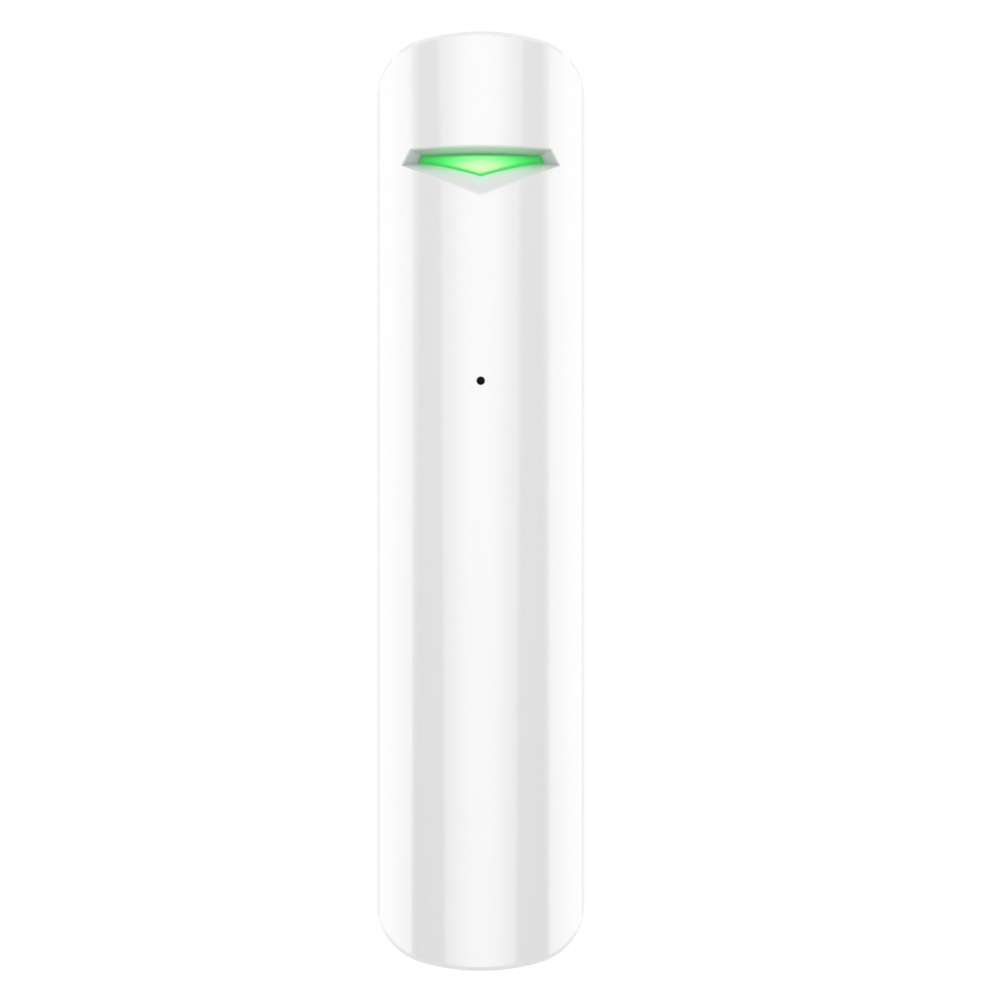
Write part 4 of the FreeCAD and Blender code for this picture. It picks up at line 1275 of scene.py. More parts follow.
@dataclass
class WallBracket(Assembly):
    """The mounting bracket, with the soft edges of its back face."""

    edge_round: float = 0.12

    def build(self) -> None:
        """Copies the moulding and rounds the edges of the face that lies on the wall."""
        plate = self.bench.copy_of("mounting_bracket", "mounting_bracket_moulding")
        self.bench.round_edges(plate, self.edge_round, lambda end: end.y > -TOUCH, segments=2, angle=50.0)
        self.bench.hand_over(plate, "bracket_plastic", "mounting_bracket", body=Body.BRACKET)


@dataclass
class WireTerminal(Assembly):
    """The push-in terminal behind the cable window, with funnels and release keys."""

    funnel: float = 0.28
    hole_reach: float = 1.4
    side_wall: float = 0.1
    outline_round: float = 0.12
    clamp_width: float = 2.1
    key_width: float = 1.5
    key_height: float = 0.8
    key_depth: float = 0.8
    key_stand: float = 0.15
    key_below_top: float = 1.3
    key_edge: float = 0.1

    def build(self) -> None:
        """Copies the block, opens its holes into funnels and sets a key over each."""
        bench, box = self.bench, place_of("terminal_block")
        high, middle = box.high, box.middle

        def at_hole(end: Vector) -> bool:
            """Whether an edge's end lies on the rear face, in the row of holes."""
            return (end.y > high.y - TOUCH and abs(end.z - middle.z) < self.hole_reach
                    and abs(end.x) < high.x - self.side_wall)

        block = bench.copy_of("terminal_block", "terminal_block_body")
        bench.round_edges(block, self.funnel, at_hole, segments=1, angle=60.0)
        bench.round_edges(block, self.outline_round, lambda end: end.y > high.y - TOUCH and box.on_rim(end),
                          segments=2, angle=60.0)
        bench.hand_over(block, "terminal_plastic", "terminal_block")
        hole_x = place_of("terminal_clamps").high.x - self.clamp_width / 2
        half, foot = self.key_width / 2, high.z - self.key_below_top
        left = bench.block("release_key_left", (-hole_x - half, high.y - self.key_depth, foot),
                           (-hole_x + half, high.y + self.key_stand, foot + self.key_height))
        bench.soften(left, self.key_edge)
        right = bench.twin(left, "release_key_right", (2.0 * hole_x, 0.0, 0.0))
        for key in (left, right):
            bench.hand_over(key, "button_plastic")


@dataclass
class Cell(Assembly):
    """The lithium cell: rolled negative rim, bead below the seal, crimp and pole."""

    base_dish: float = 0.25
    rim_round: float = 0.5
    bead_depth: float = 0.45
    bead_below_top: float = 2.6
    seal_drop: float = 0.3
    pole_radius: float = 3.2
    pole_height: float = 1.2

    def build(self) -> None:
        """Turns the can in one profile."""
        box = place_of("battery_cell")
        radius, length, pole = box.size.x / 2, box.size.z, self.pole_radius
        top = length - self.pole_height
        bead, shoulder = top - self.bead_below_top, radius - 0.3 * self.bead_depth
        seal = top - self.seal_drop
        profile = [(self.base_dish, 0.0), (self.base_dish, radius - 1.6), (0.08, radius - 1.3),
                   (0.0, radius - 0.9), *self._quarter(radius, self.rim_round), (bead - 0.5, radius),
                   (bead - 0.25, shoulder), (bead, radius - self.bead_depth), (bead + 0.25, shoulder),
                   (bead + 0.5, radius), (top - 0.5, radius), (top - 0.15, radius - 0.15),
                   (top, radius - 0.5), (top, radius - 1.3), (seal, radius - 1.6), (seal, pole + 0.5),
                   (top, pole + 0.1), (length - 0.2, pole), (length, pole - 0.2), (length, 0.0)]
        can = self.bench.lathe("battery_cell_can", box.foot(Axis.UP), Axis.UP, profile, steps=64)
        self.bench.hand_over(can, "cell_wrap", "battery_cell")

    @staticmethod
    def _quarter(radius: float, rounding: float, steps: int = 4) -> list[tuple[float, float]]:
        """Points round the can's lower outer edge.

        Args:
            radius: The can's radius.
            rounding: The edge's radius.
            steps: Number of facets.

        Returns:
            Profile points from the base to the side.
        """
        turns = [math.pi / 2 * step / steps for step in range(steps + 1)]
        return [(rounding * (1.0 - math.cos(turn)), radius - rounding * (1.0 - math.sin(turn)))
                for turn in turns]


@dataclass
class Microphone(Assembly):
    """The electret capsule and the rubber boot that seals it to the front wall."""

    port_radius: float = 0.8
    felt_depth: float = 0.35
    grooves: tuple[float, float] = (1.4, 3.2)
    groove_depth: float = 0.18
    play: float = 0.05

    def build(self) -> None:
        """Turns the capsule and the boot."""
        self.make_capsule()
        self.make_boot()

    def make_capsule(self) -> None:
        """Turns the capsule: rolled rim, flat face and a felt-backed port."""
        box = place_of("microphone_capsule")
        radius, depth, port = box.size.x / 2, box.size.y, self.port_radius
        profile = [(0.0, 0.0), (0.0, radius - 0.45), (0.1, radius - 0.12), (0.3, radius),
                   (depth - 0.3, radius), (depth - 0.1, radius - 0.08), (depth, radius - 0.3),
                   (depth, port + 0.1), (depth - 0.1, port), (depth - self.felt_depth, port),
                   (depth - self.felt_depth, 0.0)]
        capsule = self.bench.lathe("microphone_capsule_can", box.foot(Axis.TO_FRONT), Axis.TO_FRONT, profile)
        self.bench.hand_over(capsule, "capsule_aluminium", "microphone_capsule")

    def make_boot(self) -> None:
        """Turns the boot: a pocket for the capsule, the channel, and two shallow grooves outside."""
        box, capsule = place_of("microphone_boot"), place_of("microphone_capsule")
        radius, depth, port = box.size.x / 2, box.size.y, self.port_radius
        pocket, groove = capsule.size.x / 2 + self.play, radius - self.groove_depth
        floor = box.high.y - capsule.low.y + self.play
        profile = [(0.0, pocket + 0.15), (0.0, radius - 0.2), (0.2, radius)]
        for place in self.grooves:
            profile += [(place, radius), (place + 0.15, groove), (place + 0.45, groove),
                        (place + 0.6, radius)]
        profile += [(depth - 0.3, radius), (depth, radius - 0.3), (depth, port + 0.1), (depth - 0.1, port),
                    (floor, port), (floor, pocket), (0.15, pocket), (0.0, pocket + 0.15)]
        boot = self.bench.lathe("microphone_boot_rubber", box.foot(Axis.TO_FRONT), Axis.TO_FRONT, profile)
        self.bench.hand_over(boot, "boot_rubber", "microphone_boot")


@dataclass
class PressParts(Assembly):
    """What fingers and the bracket press: the power button's cap, and the tamper plunger on its spring."""

    flange_y: float = -3.7
    flange: float = 0.7
    edge: float = 0.12
    half_shaft: float = 0.9
    cap_radius: float = 2.8
    cap_dish: float = 0.18
    tip_radius: float = 1.2
    tip_dome: float = 0.2
    wire: float = 0.34
    turns: float = 3.0
    travel: float = 0.4

    def build(self) -> None:
        """Makes the cap, the plunger and the spring."""
        cap = self._stepped("power_button_finger_cap", "power_button_cap", self.cap_radius, self.cap_dish)
        self.bench.hand_over(cap, "button_plastic", "power_button_cap", body=Body.BUTTON)
        plunger = self._stepped("tamper_plunger_moulding", "tamper_plunger", self.tip_radius, -self.tip_dome)
        self.bench.hand_over(plunger, "stem_plastic", "tamper_plunger", body=Body.TAMPER)
        self.make_spring()

    def _stepped(self, name: str, node: str, tip_radius: float, dish: float) -> Piece:
        """Turns a flange with a round tip behind it, and adds the square shaft in front.

        Args:
            name: The piece's name.
            node: The node that it stands for.
            tip_radius: Radius of the tip.
            dish: How far the tip's end is hollowed, or domed where it is negative.

        Returns:
            The piece.
        """
        low, high, middle = place_of(node)
        radius, length = (high.x - low.x) / 2, high.y - self.flange_y
        edge, flange, half, crown = self.edge, self.flange, self.half_shaft, length + min(dish, 0.0)
        bowl = length - 0.8 * dish if dish > 0.0 else length + 0.3 * dish
        profile = [(0.0, 0.0), (0.0, radius - edge), (edge, radius), (flange - edge, radius),
                   (flange, radius - edge), (flange, tip_radius + 0.1), (flange + 0.1, tip_radius),
                   (crown - 0.22, tip_radius), (crown - 0.07, tip_radius - 0.07), (crown, tip_radius - 0.25),
                   (bowl, 0.5 * tip_radius), (length - max(dish, 0.0), 0.0)]
        piece = self.bench.lathe(name, (middle.x, self.flange_y, middle.z), Axis.TO_BACK, profile)
        shaft = self.bench.block(name + "_shaft", (-half, low.y, middle.z - half),
                                 (half, self.flange_y + 0.1, middle.z + half))
        self.bench.soften(shaft, edge)
        self.bench.unite(piece, shaft)
        return piece

    def make_spring(self) -> None:
        """Winds the spring with a closed turn at each end."""
        low, high, middle = place_of("tamper_spring")
        half = self.wire / 2
        radius, run = (high.x - low.x) / 2 - half, high.y - low.y - self.wire
        spring = self.bench.helix("tamper_spring_wire", (middle.x, low.y + half, middle.z), Axis.TO_BACK,
                                  radius, self.wire, run / self.turns, self.turns)
        rings = []
        for y in (low.y + half, high.y - half):
            self.bench.free()
            bpy.ops.mesh.primitive_torus_add(major_radius=radius * MM, minor_radius=half * MM,
                                             major_segments=40, minor_segments=8,
                                             location=(middle.x * MM, y * MM, middle.z * MM),
                                             rotation=(math.pi / 2, 0.0, 0.0))
            rings.append(self.bench.take("spring_end"))
        self.bench.unite(spring, *rings)
        self.bench.hand_over(spring, "spring_steel", "tamper_spring", smooth=60.0)
        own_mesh(spring)


@dataclass
class CaseScrews(Assembly):
    """The two screws that hold the covers together: pan head, cross and a coarse thread for plastic."""

    head_height: float = 1.4
    core_radius: float = 0.8
    thread_radius: float = 1.1
    thread_start: float = 0.7
    plain_neck: float = 0.9
    pitch: float = 0.8
    cross_width: float = 1.8
    cross_slot: float = 0.42
    cross_depth: float = 0.8
    cross_above: float = 0.3

    def build(self) -> None:
        """Models the upper screw and copies it for the lower one."""
        box, below = place_of("case_screw_upper"), place_of("case_screw_lower")
        upper = self.make(box)
        lower = self.bench.twin(upper, "case_screw_lower_steel", (0.0, 0.0, below.middle.z - box.middle.z))
        self.bench.hand_over(upper, "screw_steel", "case_screw_upper")
        self.bench.hand_over(lower, "screw_steel", "case_screw_lower")

    def make(self, box: Box) -> Piece:
        """Turns one screw and cuts its cross.

        Args:
            box: The screw's box.

        Returns:
            The screw.
        """
        bench, radius, length, core = self.bench, box.size.x / 2, box.size.y, self.core_radius
        neck, place = length - self.head_height, self.thread_start
        profile = [(0.0, 0.0), (0.5, 0.55 * core)]
        while place < neck - self.plain_neck:
            profile += [(place, core), (place + 0.3, self.thread_radius), (place + 0.38, self.thread_radius),
                        (place + 0.6, core)]
            place += self.pitch
        profile += [(neck - 0.1, core), (neck, core + 0.15), (neck, radius - 0.1), (neck + 0.1, radius),
                    (length - 0.75, radius), (length - 0.4, radius - 0.15), (length - 0.12, radius - 0.55),
                    (length, radius - 1.05), (length, 0.0)]
        screw = bench.lathe("case_screw_upper_steel", box.foot(Axis.TO_BACK), Axis.TO_BACK, profile, steps=40)
        middle, top, reach, slot = box.middle, box.high.y, self.cross_width / 2, self.cross_slot / 2
        for wide, tall in ((reach, slot), (slot, reach)):
            blade = bench.block("cross_blade", (middle.x - wide, top - self.cross_depth, middle.z - tall),
                                (middle.x + wide, top + self.cross_above, middle.z + tall))
            bench.carve(screw, blade)
        return screw


@dataclass
class BoardParts(Assembly):
    """Electronics with a shape of their own: capacitor, chip, crystal, LED, passives, shield, test pads."""

    base_height: float = 0.6
    base_cut: float = 0.9
    can_inset: float = 0.15
    chip_edge: float = 0.1
    mark_inset: float = 0.7
    mark_radius: float = 0.3
    mark_above: float = 0.05
    land: tuple[float, float, float, float] = (0.5, 0.32, 0.14, 0.22)
    land_edge: float = 0.03
    land_pitch: float = 0.65
    lands_a_row: int = 7
    pad_inset: float = 1.4
    pad_radius: float = 0.45
    pads_from_z: float = 17.6
    pad_pitch: float = 1.9
    pads: int = 5
    crystal_foot: float = 0.35
    crystal_edge: float = 0.08
    lid_inset: float = 0.14
    led_foot: float = 0.32
    led_edge: float = 0.06
    seat: float = 0.3
    dome: Outline = ((0.0, 0.0), (0.0, 0.6), (0.1, 0.56), (0.2, 0.42), (0.27, 0.24), (0.3, 0.0))
    passives: int = 4
    passive_length: float = 0.7
    passive_edge: float = 0.05
    body_inset: tuple[float, float, float] = (0.03, 0.02, 0.02)
    cap_share: float = 0.22
    shield_round: float = 0.25

    def build(self) -> None:
        """Makes each component where its node is."""
        self.make_capacitor()
        self.make_chip()
        self.make_crystal()
        self.make_led()
        self.make_passives()
        self.make_shield()
        self.make_test_pads()

    def make_capacitor(self) -> None:
        """Turns the aluminium can with its bead, on a base with two cut corners."""
        box = place_of("capacitor")
        low, high = box.low, box.high
        height, radius, start = box.size.y, box.size.x / 2 - self.can_inset, self.base_height
        profile = [(start - 0.05, 0.0), (start - 0.05, radius - 0.3), (start + 0.15, radius - 0.05),
                   (start + 0.35, radius), (start + 0.6, radius - 0.18), (start + 0.8, radius - 0.18),
                   (start + 1.05, radius), (height - 0.3, radius), (height - 0.08, radius - 0.1),
                   (height, radius - 0.35), (height, 0.0)]
        can = self.bench.lathe("capacitor_can", box.foot(Axis.TO_BACK), Axis.TO_BACK, profile)
        self.bench.hand_over(can, "capacitor_can", "capacitor")
        base = self.bench.block("capacitor_base", low, (high.x, low.y + start, high.z))
        self.bench.round_edges(base, self.base_cut, lambda end: end.z > high.z - TOUCH, segments=1)
        self.bench.hand_over(base, "switch_black")

    def make_chip(self) -> None:
        """Makes the flat package: bevelled top, a dimple at its first pin, and lands round the foot."""
        box = place_of("microcontroller")
        low, high, radius = box.low, box.high, self.mark_radius
        body = self.bench.block("microcontroller_package", low, high)
        self.bench.round_edges(body, self.chip_edge, lambda end: end.y < low.y + TOUCH, segments=2)
        corner = (low.x + self.mark_inset, low.y - self.mark_above, high.z - self.mark_inset)
        dimple = self.bench.lathe("pin_dimple", corner, Axis.TO_BACK,
                                  [(0.0, 0.0), (0.0, radius), (0.1, radius), (0.14, 0.0)], steps=20)
        self.bench.carve(body, dimple)
        self.bench.hand_over(body, "chip_resin", "microcontroller")
        self.make_lands(box)

    def make_lands(self, box: Box) -> None:
        """Makes one land for the sides and one for the ends, and copies each along both its rows.

        Args:
            box: The package's box.
        """
        low, high, middle = box
        length, width, rise, out = self.land
        start = -(self.lands_a_row - 1) / 2 * self.land_pitch
        across = box.size.x + 2.0 * out - length
        lands = []
        for sideways in (True, False):
            edge, along = (low.x, middle.z + start) if sideways else (low.z, middle.x + start)
            first = (edge - out, high.y - rise, along - width / 2)
            last = (edge - out + length, high.y, along + width / 2)
            if not sideways:
                first, last = first[::-1], last[::-1]
            land = self.bench.block("land_pattern", first, last)
            self.bench.soften(land, self.land_edge, segments=1)
            for row in range(2):
                for index in range(self.lands_a_row):
                    move = (row * across, 0.0, index * self.land_pitch)
                    lands.append(self.bench.twin(land, "microcontroller_lands",
                                                 move if sideways else move[::-1]))
            bpy.data.objects.remove(land)
        self.bench.unite(*lands)
        self.bench.hand_over(lands[0], "contact_nickel")

    def make_test_pads(self) -> None:
        """Turns one gilt test pad at the edge of the board's front and copies it up the row."""
        board, radius = place_of("circuit_board").low, self.pad_radius
        profile = [(-0.02, 0.0), (-0.02, radius), (0.03, radius), (0.05, radius - 0.03), (0.05, 0.0)]
        pad = self.bench.lathe("test_pads", (board.x + self.pad_inset, board.y, self.pads_from_z),
                               Axis.TO_FRONT, profile, steps=24)
        self.bench.row(pad, self.pads, self.pad_pitch)
        self.bench.hand_over(pad, "clamp_brass")

    def make_crystal(self) -> None:
        """Makes the crystal: a ceramic foot under a rounded metal lid."""
        low, high, _ = place_of("crystal")
        foot = self.bench.block("crystal_foot", (low.x, high.y - self.crystal_foot, low.z), high)
        self.bench.soften(foot, self.crystal_edge)
        inset = self.lid_inset
        lid = self.bench.block("crystal_lid", (low.x + inset, low.y, low.z + inset),
                               (high.x - inset, high.y - self.seat, high.z - inset))
        self.bench.soften(lid, inset, segments=3)
        self.bench.hand_over(foot, "passive_ceramic")
        self.bench.hand_over(lid, "crystal_can", "crystal")

    def make_led(self) -> None:
        """Makes the LED: a white foot with a clear dome."""
        low, high, middle = place_of("status_led")
        foot = self.bench.block("status_led_foot", (low.x, high.y - self.led_foot, low.z), high)
        self.bench.soften(foot, self.led_edge)
        dome = self.bench.lathe("status_led_dome", (middle.x, high.y - self.seat, middle.z), Axis.TO_FRONT,
                                self.dome, steps=32)
        self.bench.hand_over(foot, "bracket_plastic")
        self.bench.hand_over(dome, "led_resin", "status_led")

    def make_passives(self) -> None:
        """Makes one chip component with its metal ends, and copies the pair up the row."""
        low, high, _ = place_of("chip_passives")
        length = self.passive_length
        pitch = (high.z - low.z - length) / (self.passives - 1)
        ends = (high.x - low.x) * self.cap_share
        in_x, in_y, in_z = self.body_inset
        body = self.bench.block("chip_body_0", (low.x + in_x, low.y + in_y, low.z + in_z),
                                (high.x - in_x, high.y, low.z + length - in_z))
        caps = self.bench.block("chip_ends_0", low, (low.x + ends, high.y, low.z + length))
        self.bench.soften(caps, self.passive_edge)
        self.bench.unite(caps, self.bench.twin(caps, "chip_end_right", (high.x - low.x - ends, 0.0, 0.0)))
        for piece in (body, caps):
            self.bench.row(piece, self.passives, pitch)
        self.bench.hand_over(body, "passive_ceramic", "chip_passives")
        self.bench.hand_over(caps, "contact_nickel")

    def make_shield(self) -> None:
        """Copies the radio's can and rounds the drawn edge of its top."""
        box = place_of("radio_shield")
        can = self.bench.copy_of("radio_shield", "radio_shield_can")
        self.bench.round_edges(can, self.shield_round,
                               lambda end: end.y < box.low.y + TOUCH and box.on_rim(end))
        self.bench.hand_over(can, "shield_tin", "radio_shield")


@dataclass
class Antenna(Assembly):
    """The helical antenna in round wire, with the leg that it stands on."""

    wire: float = 0.7
    coil_radius: float = 1.8
    pitch: float = 3.6
    turns: float = 3.0
    leg_radius: float = 0.4
    leg_overlap: float = 0.3
    wire_end: float = 0.12

    def build(self) -> None:
        """Winds the coil up from the board's side and sets the leg under its start."""
        low, high, middle = place_of("antenna_coil")
        axis_y, start_z = high.y - (high.x - low.x) / 2, low.z + self.leg_radius
        coil = self.bench.helix("antenna_coil_wire", (middle.x, axis_y, start_z), Axis.UP, self.coil_radius,
                                self.wire, self.pitch, self.turns, sides=12, start=90.0)
        reach, half, end = axis_y - self.coil_radius - low.y + self.leg_overlap, self.wire / 2, self.wire_end
        profile = [(0.0, 0.0), (0.0, half), (reach - end, half), (reach, half - end), (reach, 0.0)]
        leg = self.bench.lathe("antenna_leg", (middle.x, low.y, start_z), Axis.TO_BACK, profile, steps=16)
        self.bench.unite(coil, leg)
        self.bench.hand_over(coil, "antenna_brass", "antenna_coil")


@dataclass
class CellWiring(Assembly):
    """The two leaves at the cell's poles, and the insulated lead from the lower one to the board."""

    bend: float = 0.2
    bend_reach: float = 0.35
    sheet_edge: float = 0.05
    lead_facet: float = 0.12

    def build(self) -> None:
        """Rounds the leaves' bends and edges, and the lead's facets."""
        bench, low = self.bench, place_of("positive_contact").low
        upper = bench.copy_of("positive_contact", "positive_contact_leaf")
        bench.round_edges(upper, self.bend, lambda end: max(end.y - low.y, end.z - low.z) < self.bend_reach,
                          angle=60.0)
        bench.soften(upper, self.sheet_edge)
        bench.hand_over(upper, "contact_nickel", "positive_contact")
        lower = bench.copy_of("negative_contact", "negative_contact_leaf")
        bench.soften(lower, self.sheet_edge)
        bench.hand_over(lower, "contact_nickel", "negative_contact")
        lead = bench.copy_of("negative_lead", "negative_lead_insulated")
        bench.soften(lead, self.lead_facet, angle=20.0)
        bench.hand_over(lead, "lead_insulation", "negative_lead", smooth=40.0)


@dataclass
class PressSwitches(Assembly):
    """The power and tamper switches: moulded body, steel plate on four rivets, and feet on the board."""

    corner: float = 0.25
    plate: float = 0.15
    plate_inset: float = 0.12
    plate_edge: float = 0.04
    socket: float = 2.0
    socket_cut: float = 1.0
    rivet_inset: float = 0.5
    rivet_sunk: float = 0.02
    rivet: Outline = ((0.0, 0.0), (0.0, 0.24), (0.05, 0.22), (0.08, 0.12), (0.09, 0.0))
    foot_route: Outline = ((-0.1, 0.35), (0.25, 0.35), (0.42, 0.0), (0.8, 0.0))
    foot_sheet: float = 0.15
    foot_width: float = 0.7
    foot_spread: float = 1.2
    foot_edge: float = 0.03

    def build(self) -> None:
        """Makes the power switch's pieces and copies them for the tamper switch."""
        bench, box = self.bench, place_of("power_switch_body")
        drop = (0.0, 0.0, place_of("tamper_switch_body").middle.z - box.middle.z)
        for piece, slot, nodes in ((self.make_body(box), "switch_black", ("switch_body",)),
                                   (self.make_plate(box), "contact_nickel", ()),
                                   (self.make_feet(box), "contact_nickel", ())):
            other = bench.twin(piece, piece.name.replace("power", "tamper"), drop)
            for made, prefix in ((piece, "power_"), (other, "tamper_")):
                bench.hand_over(made, slot, *(prefix + node for node in nodes))

    def make_body(self, box: Box) -> Piece:
        """Lowers the top of a copied body by the plate, and rounds its upright corners.

        Args:
            box: The body's box.

        Returns:
            The body.
        """
        low, high, _ = box
        body = self.bench.copy_of("power_switch_body", "power_switch_housing")
        self.bench.select(body, Element.VERTS, lambda vertex: vertex.co.y / MM > high.y - TOUCH)
        bpy.ops.transform.translate(value=(0.0, -self.plate * MM, 0.0))
        self.bench.free()
        self.bench.round_edges(body, self.corner, lambda end: min(end.x - low.x, high.x - end.x) < TOUCH
                               and min(end.z - low.z, high.z - end.z) < TOUCH, angle=60.0)
        return body

    def make_plate(self, box: Box) -> Piece:
        """Cuts the plate round the stem and sets four rivets in it.

        Args:
            box: The body's box.

        Returns:
            The plate.
        """
        bench, inset, half = self.bench, self.plate_inset, self.socket / 2
        low, high, middle = box
        plate = bench.block("power_switch_plate", (low.x + inset, high.y - self.plate, low.z + inset),
                            (high.x - inset, high.y, high.z - inset))
        hole = bench.block("plate_hole", (middle.x - half, high.y - self.socket_cut, middle.z - half),
                           (middle.x + half, high.y + self.socket_cut, middle.z + half))
        bench.carve(plate, hole)
        bench.soften(plate, self.plate_edge)
        first = (low.x + self.rivet_inset, high.y - self.rivet_sunk, low.z + self.rivet_inset)
        rivet = bench.lathe("rivet", first, Axis.TO_BACK, self.rivet, steps=20)
        span_x, span_z = (side - 2.0 * self.rivet_inset for side in (box.size.x, box.size.z))
        others = [bench.twin(rivet, "rivet_copy", move)
                  for move in ((span_x, 0.0, 0.0), (0.0, 0.0, span_z), (span_x, 0.0, span_z))]
        bench.unite(plate, rivet, *others)
        return plate

    def make_feet(self, box: Box) -> Piece:
        """Bends two feet out of each side of the body and down onto the board.

        Args:
            box: The body's box.

        Returns:
            The feet.
        """
        flat, width = box.low.y + self.foot_sheet / 2, self.foot_width
        feet = []
        for side, edge in ((-1.0, box.low.x), (1.0, box.high.x)):
            for shift in (-self.foot_spread, self.foot_spread):
                z = box.middle.z + shift - width / 2
                route = [(edge + out * side, flat + rise, z) for out, rise in self.foot_route]
                feet.append(self.bench.strip("power_switch_feet", route, (0.0, 0.0, width), self.foot_sheet))
                self.bench.soften(feet[-1], self.foot_edge, angle=50.0)
        self.bench.unite(*feet)
        return feet[0]


@dataclass
class SwitchStems(Assembly):
    """The square stems that the button and the plunger push, with their edges softened."""

    edge: float = 0.15

    def build(self) -> None:
        """Copies each stem and rounds its edges."""
        for node, body in (("power_switch_stem", Body.BUTTON), ("tamper_switch_stem", Body.TAMPER)):
            stem = self.bench.copy_of(node, node + "_moulding")
            self.bench.soften(stem, self.edge)
            self.bench.hand_over(stem, "stem_plastic", node, body=body)


@dataclass
class SolderJoints(Assembly):
    """Solder fillets where the antenna, the lead and the terminal's pins meet the board."""

    fillet: Outline = ((-0.02, 0.0), (-0.02, 0.8), (0.05, 0.77), (0.16, 0.58), (0.38, 0.4), (0.56, 0.3),
                       (0.62, 0.12), (0.63, 0.0))
    lead_above_edge: float = 2.0
    antenna_above_foot: float = 0.4
    pin_spacing: float = 3.2
    pin_below_top: float = 1.2

    def build(self) -> None:
        """Turns a fillet for each side of the board and copies it to its wires and pins."""
        bench, board, antenna = self.bench, place_of("circuit_board"), place_of("antenna_coil")
        pin_z = place_of("terminal_block").high.z - self.pin_below_top
        pin = bench.lathe("solder_joints", (-self.pin_spacing / 2, board.low.y, pin_z), Axis.TO_FRONT,
                          self.fillet, steps=28)
        antenna_z = antenna.low.z + self.antenna_above_foot
        back = bench.lathe("solder_antenna", (antenna.middle.x, board.high.y, antenna_z), Axis.TO_BACK,
                           self.fillet, steps=28)
        to_lead = (place_of("negative_lead").middle.x - antenna.middle.x, 0.0,
                   board.low.z + self.lead_above_edge - antenna_z)
        bench.unite(pin, bench.twin(pin, "solder_pin", (self.pin_spacing, 0.0, 0.0)), back,
                    bench.twin(back, "solder_lead", to_lead))
        bench.hand_over(pin, "shield_tin")


@dataclass(frozen=True)
class Softbox:
    """A studio lamp at a compass place round the object, in degrees from the camera, facing it.

    Its cloth is brightest round a hot centre and falls to the rim's share of that.
    """

    name: str
    azimuth: float
    distance: float
    width: float
    height: float
    radiance: float
    rise: float = 0.0
    rim: float = 1.0
    hot_radius: float = 0.12
    fade_radius: float = 0.42
    hot_above: float = 0.0
    hot_right: float = 0.0


@dataclass(frozen=True)
class Flag:
    """A black card that only reflections see. It draws the grey bands down the glossy front.

    Its dark field has a leaning edge on each side, so that the bands widen downwards. An edge is given by
    its distance from the card's middle, away from the camera, at the middle's height and by its lean there.
    Both edges fade out.
    """

    name: str
    azimuth: float
    distance: float = 0.60
    width: float = 0.70
    height: float = 0.50
    near_edge: float = -0.279
    near_lean: float = 0.895
    near_fade: float = 0.080
    far_edge: float = 0.194
    far_lean: float = -0.64
    far_fade: float = 0.135
    lean_reach: float = 0.06


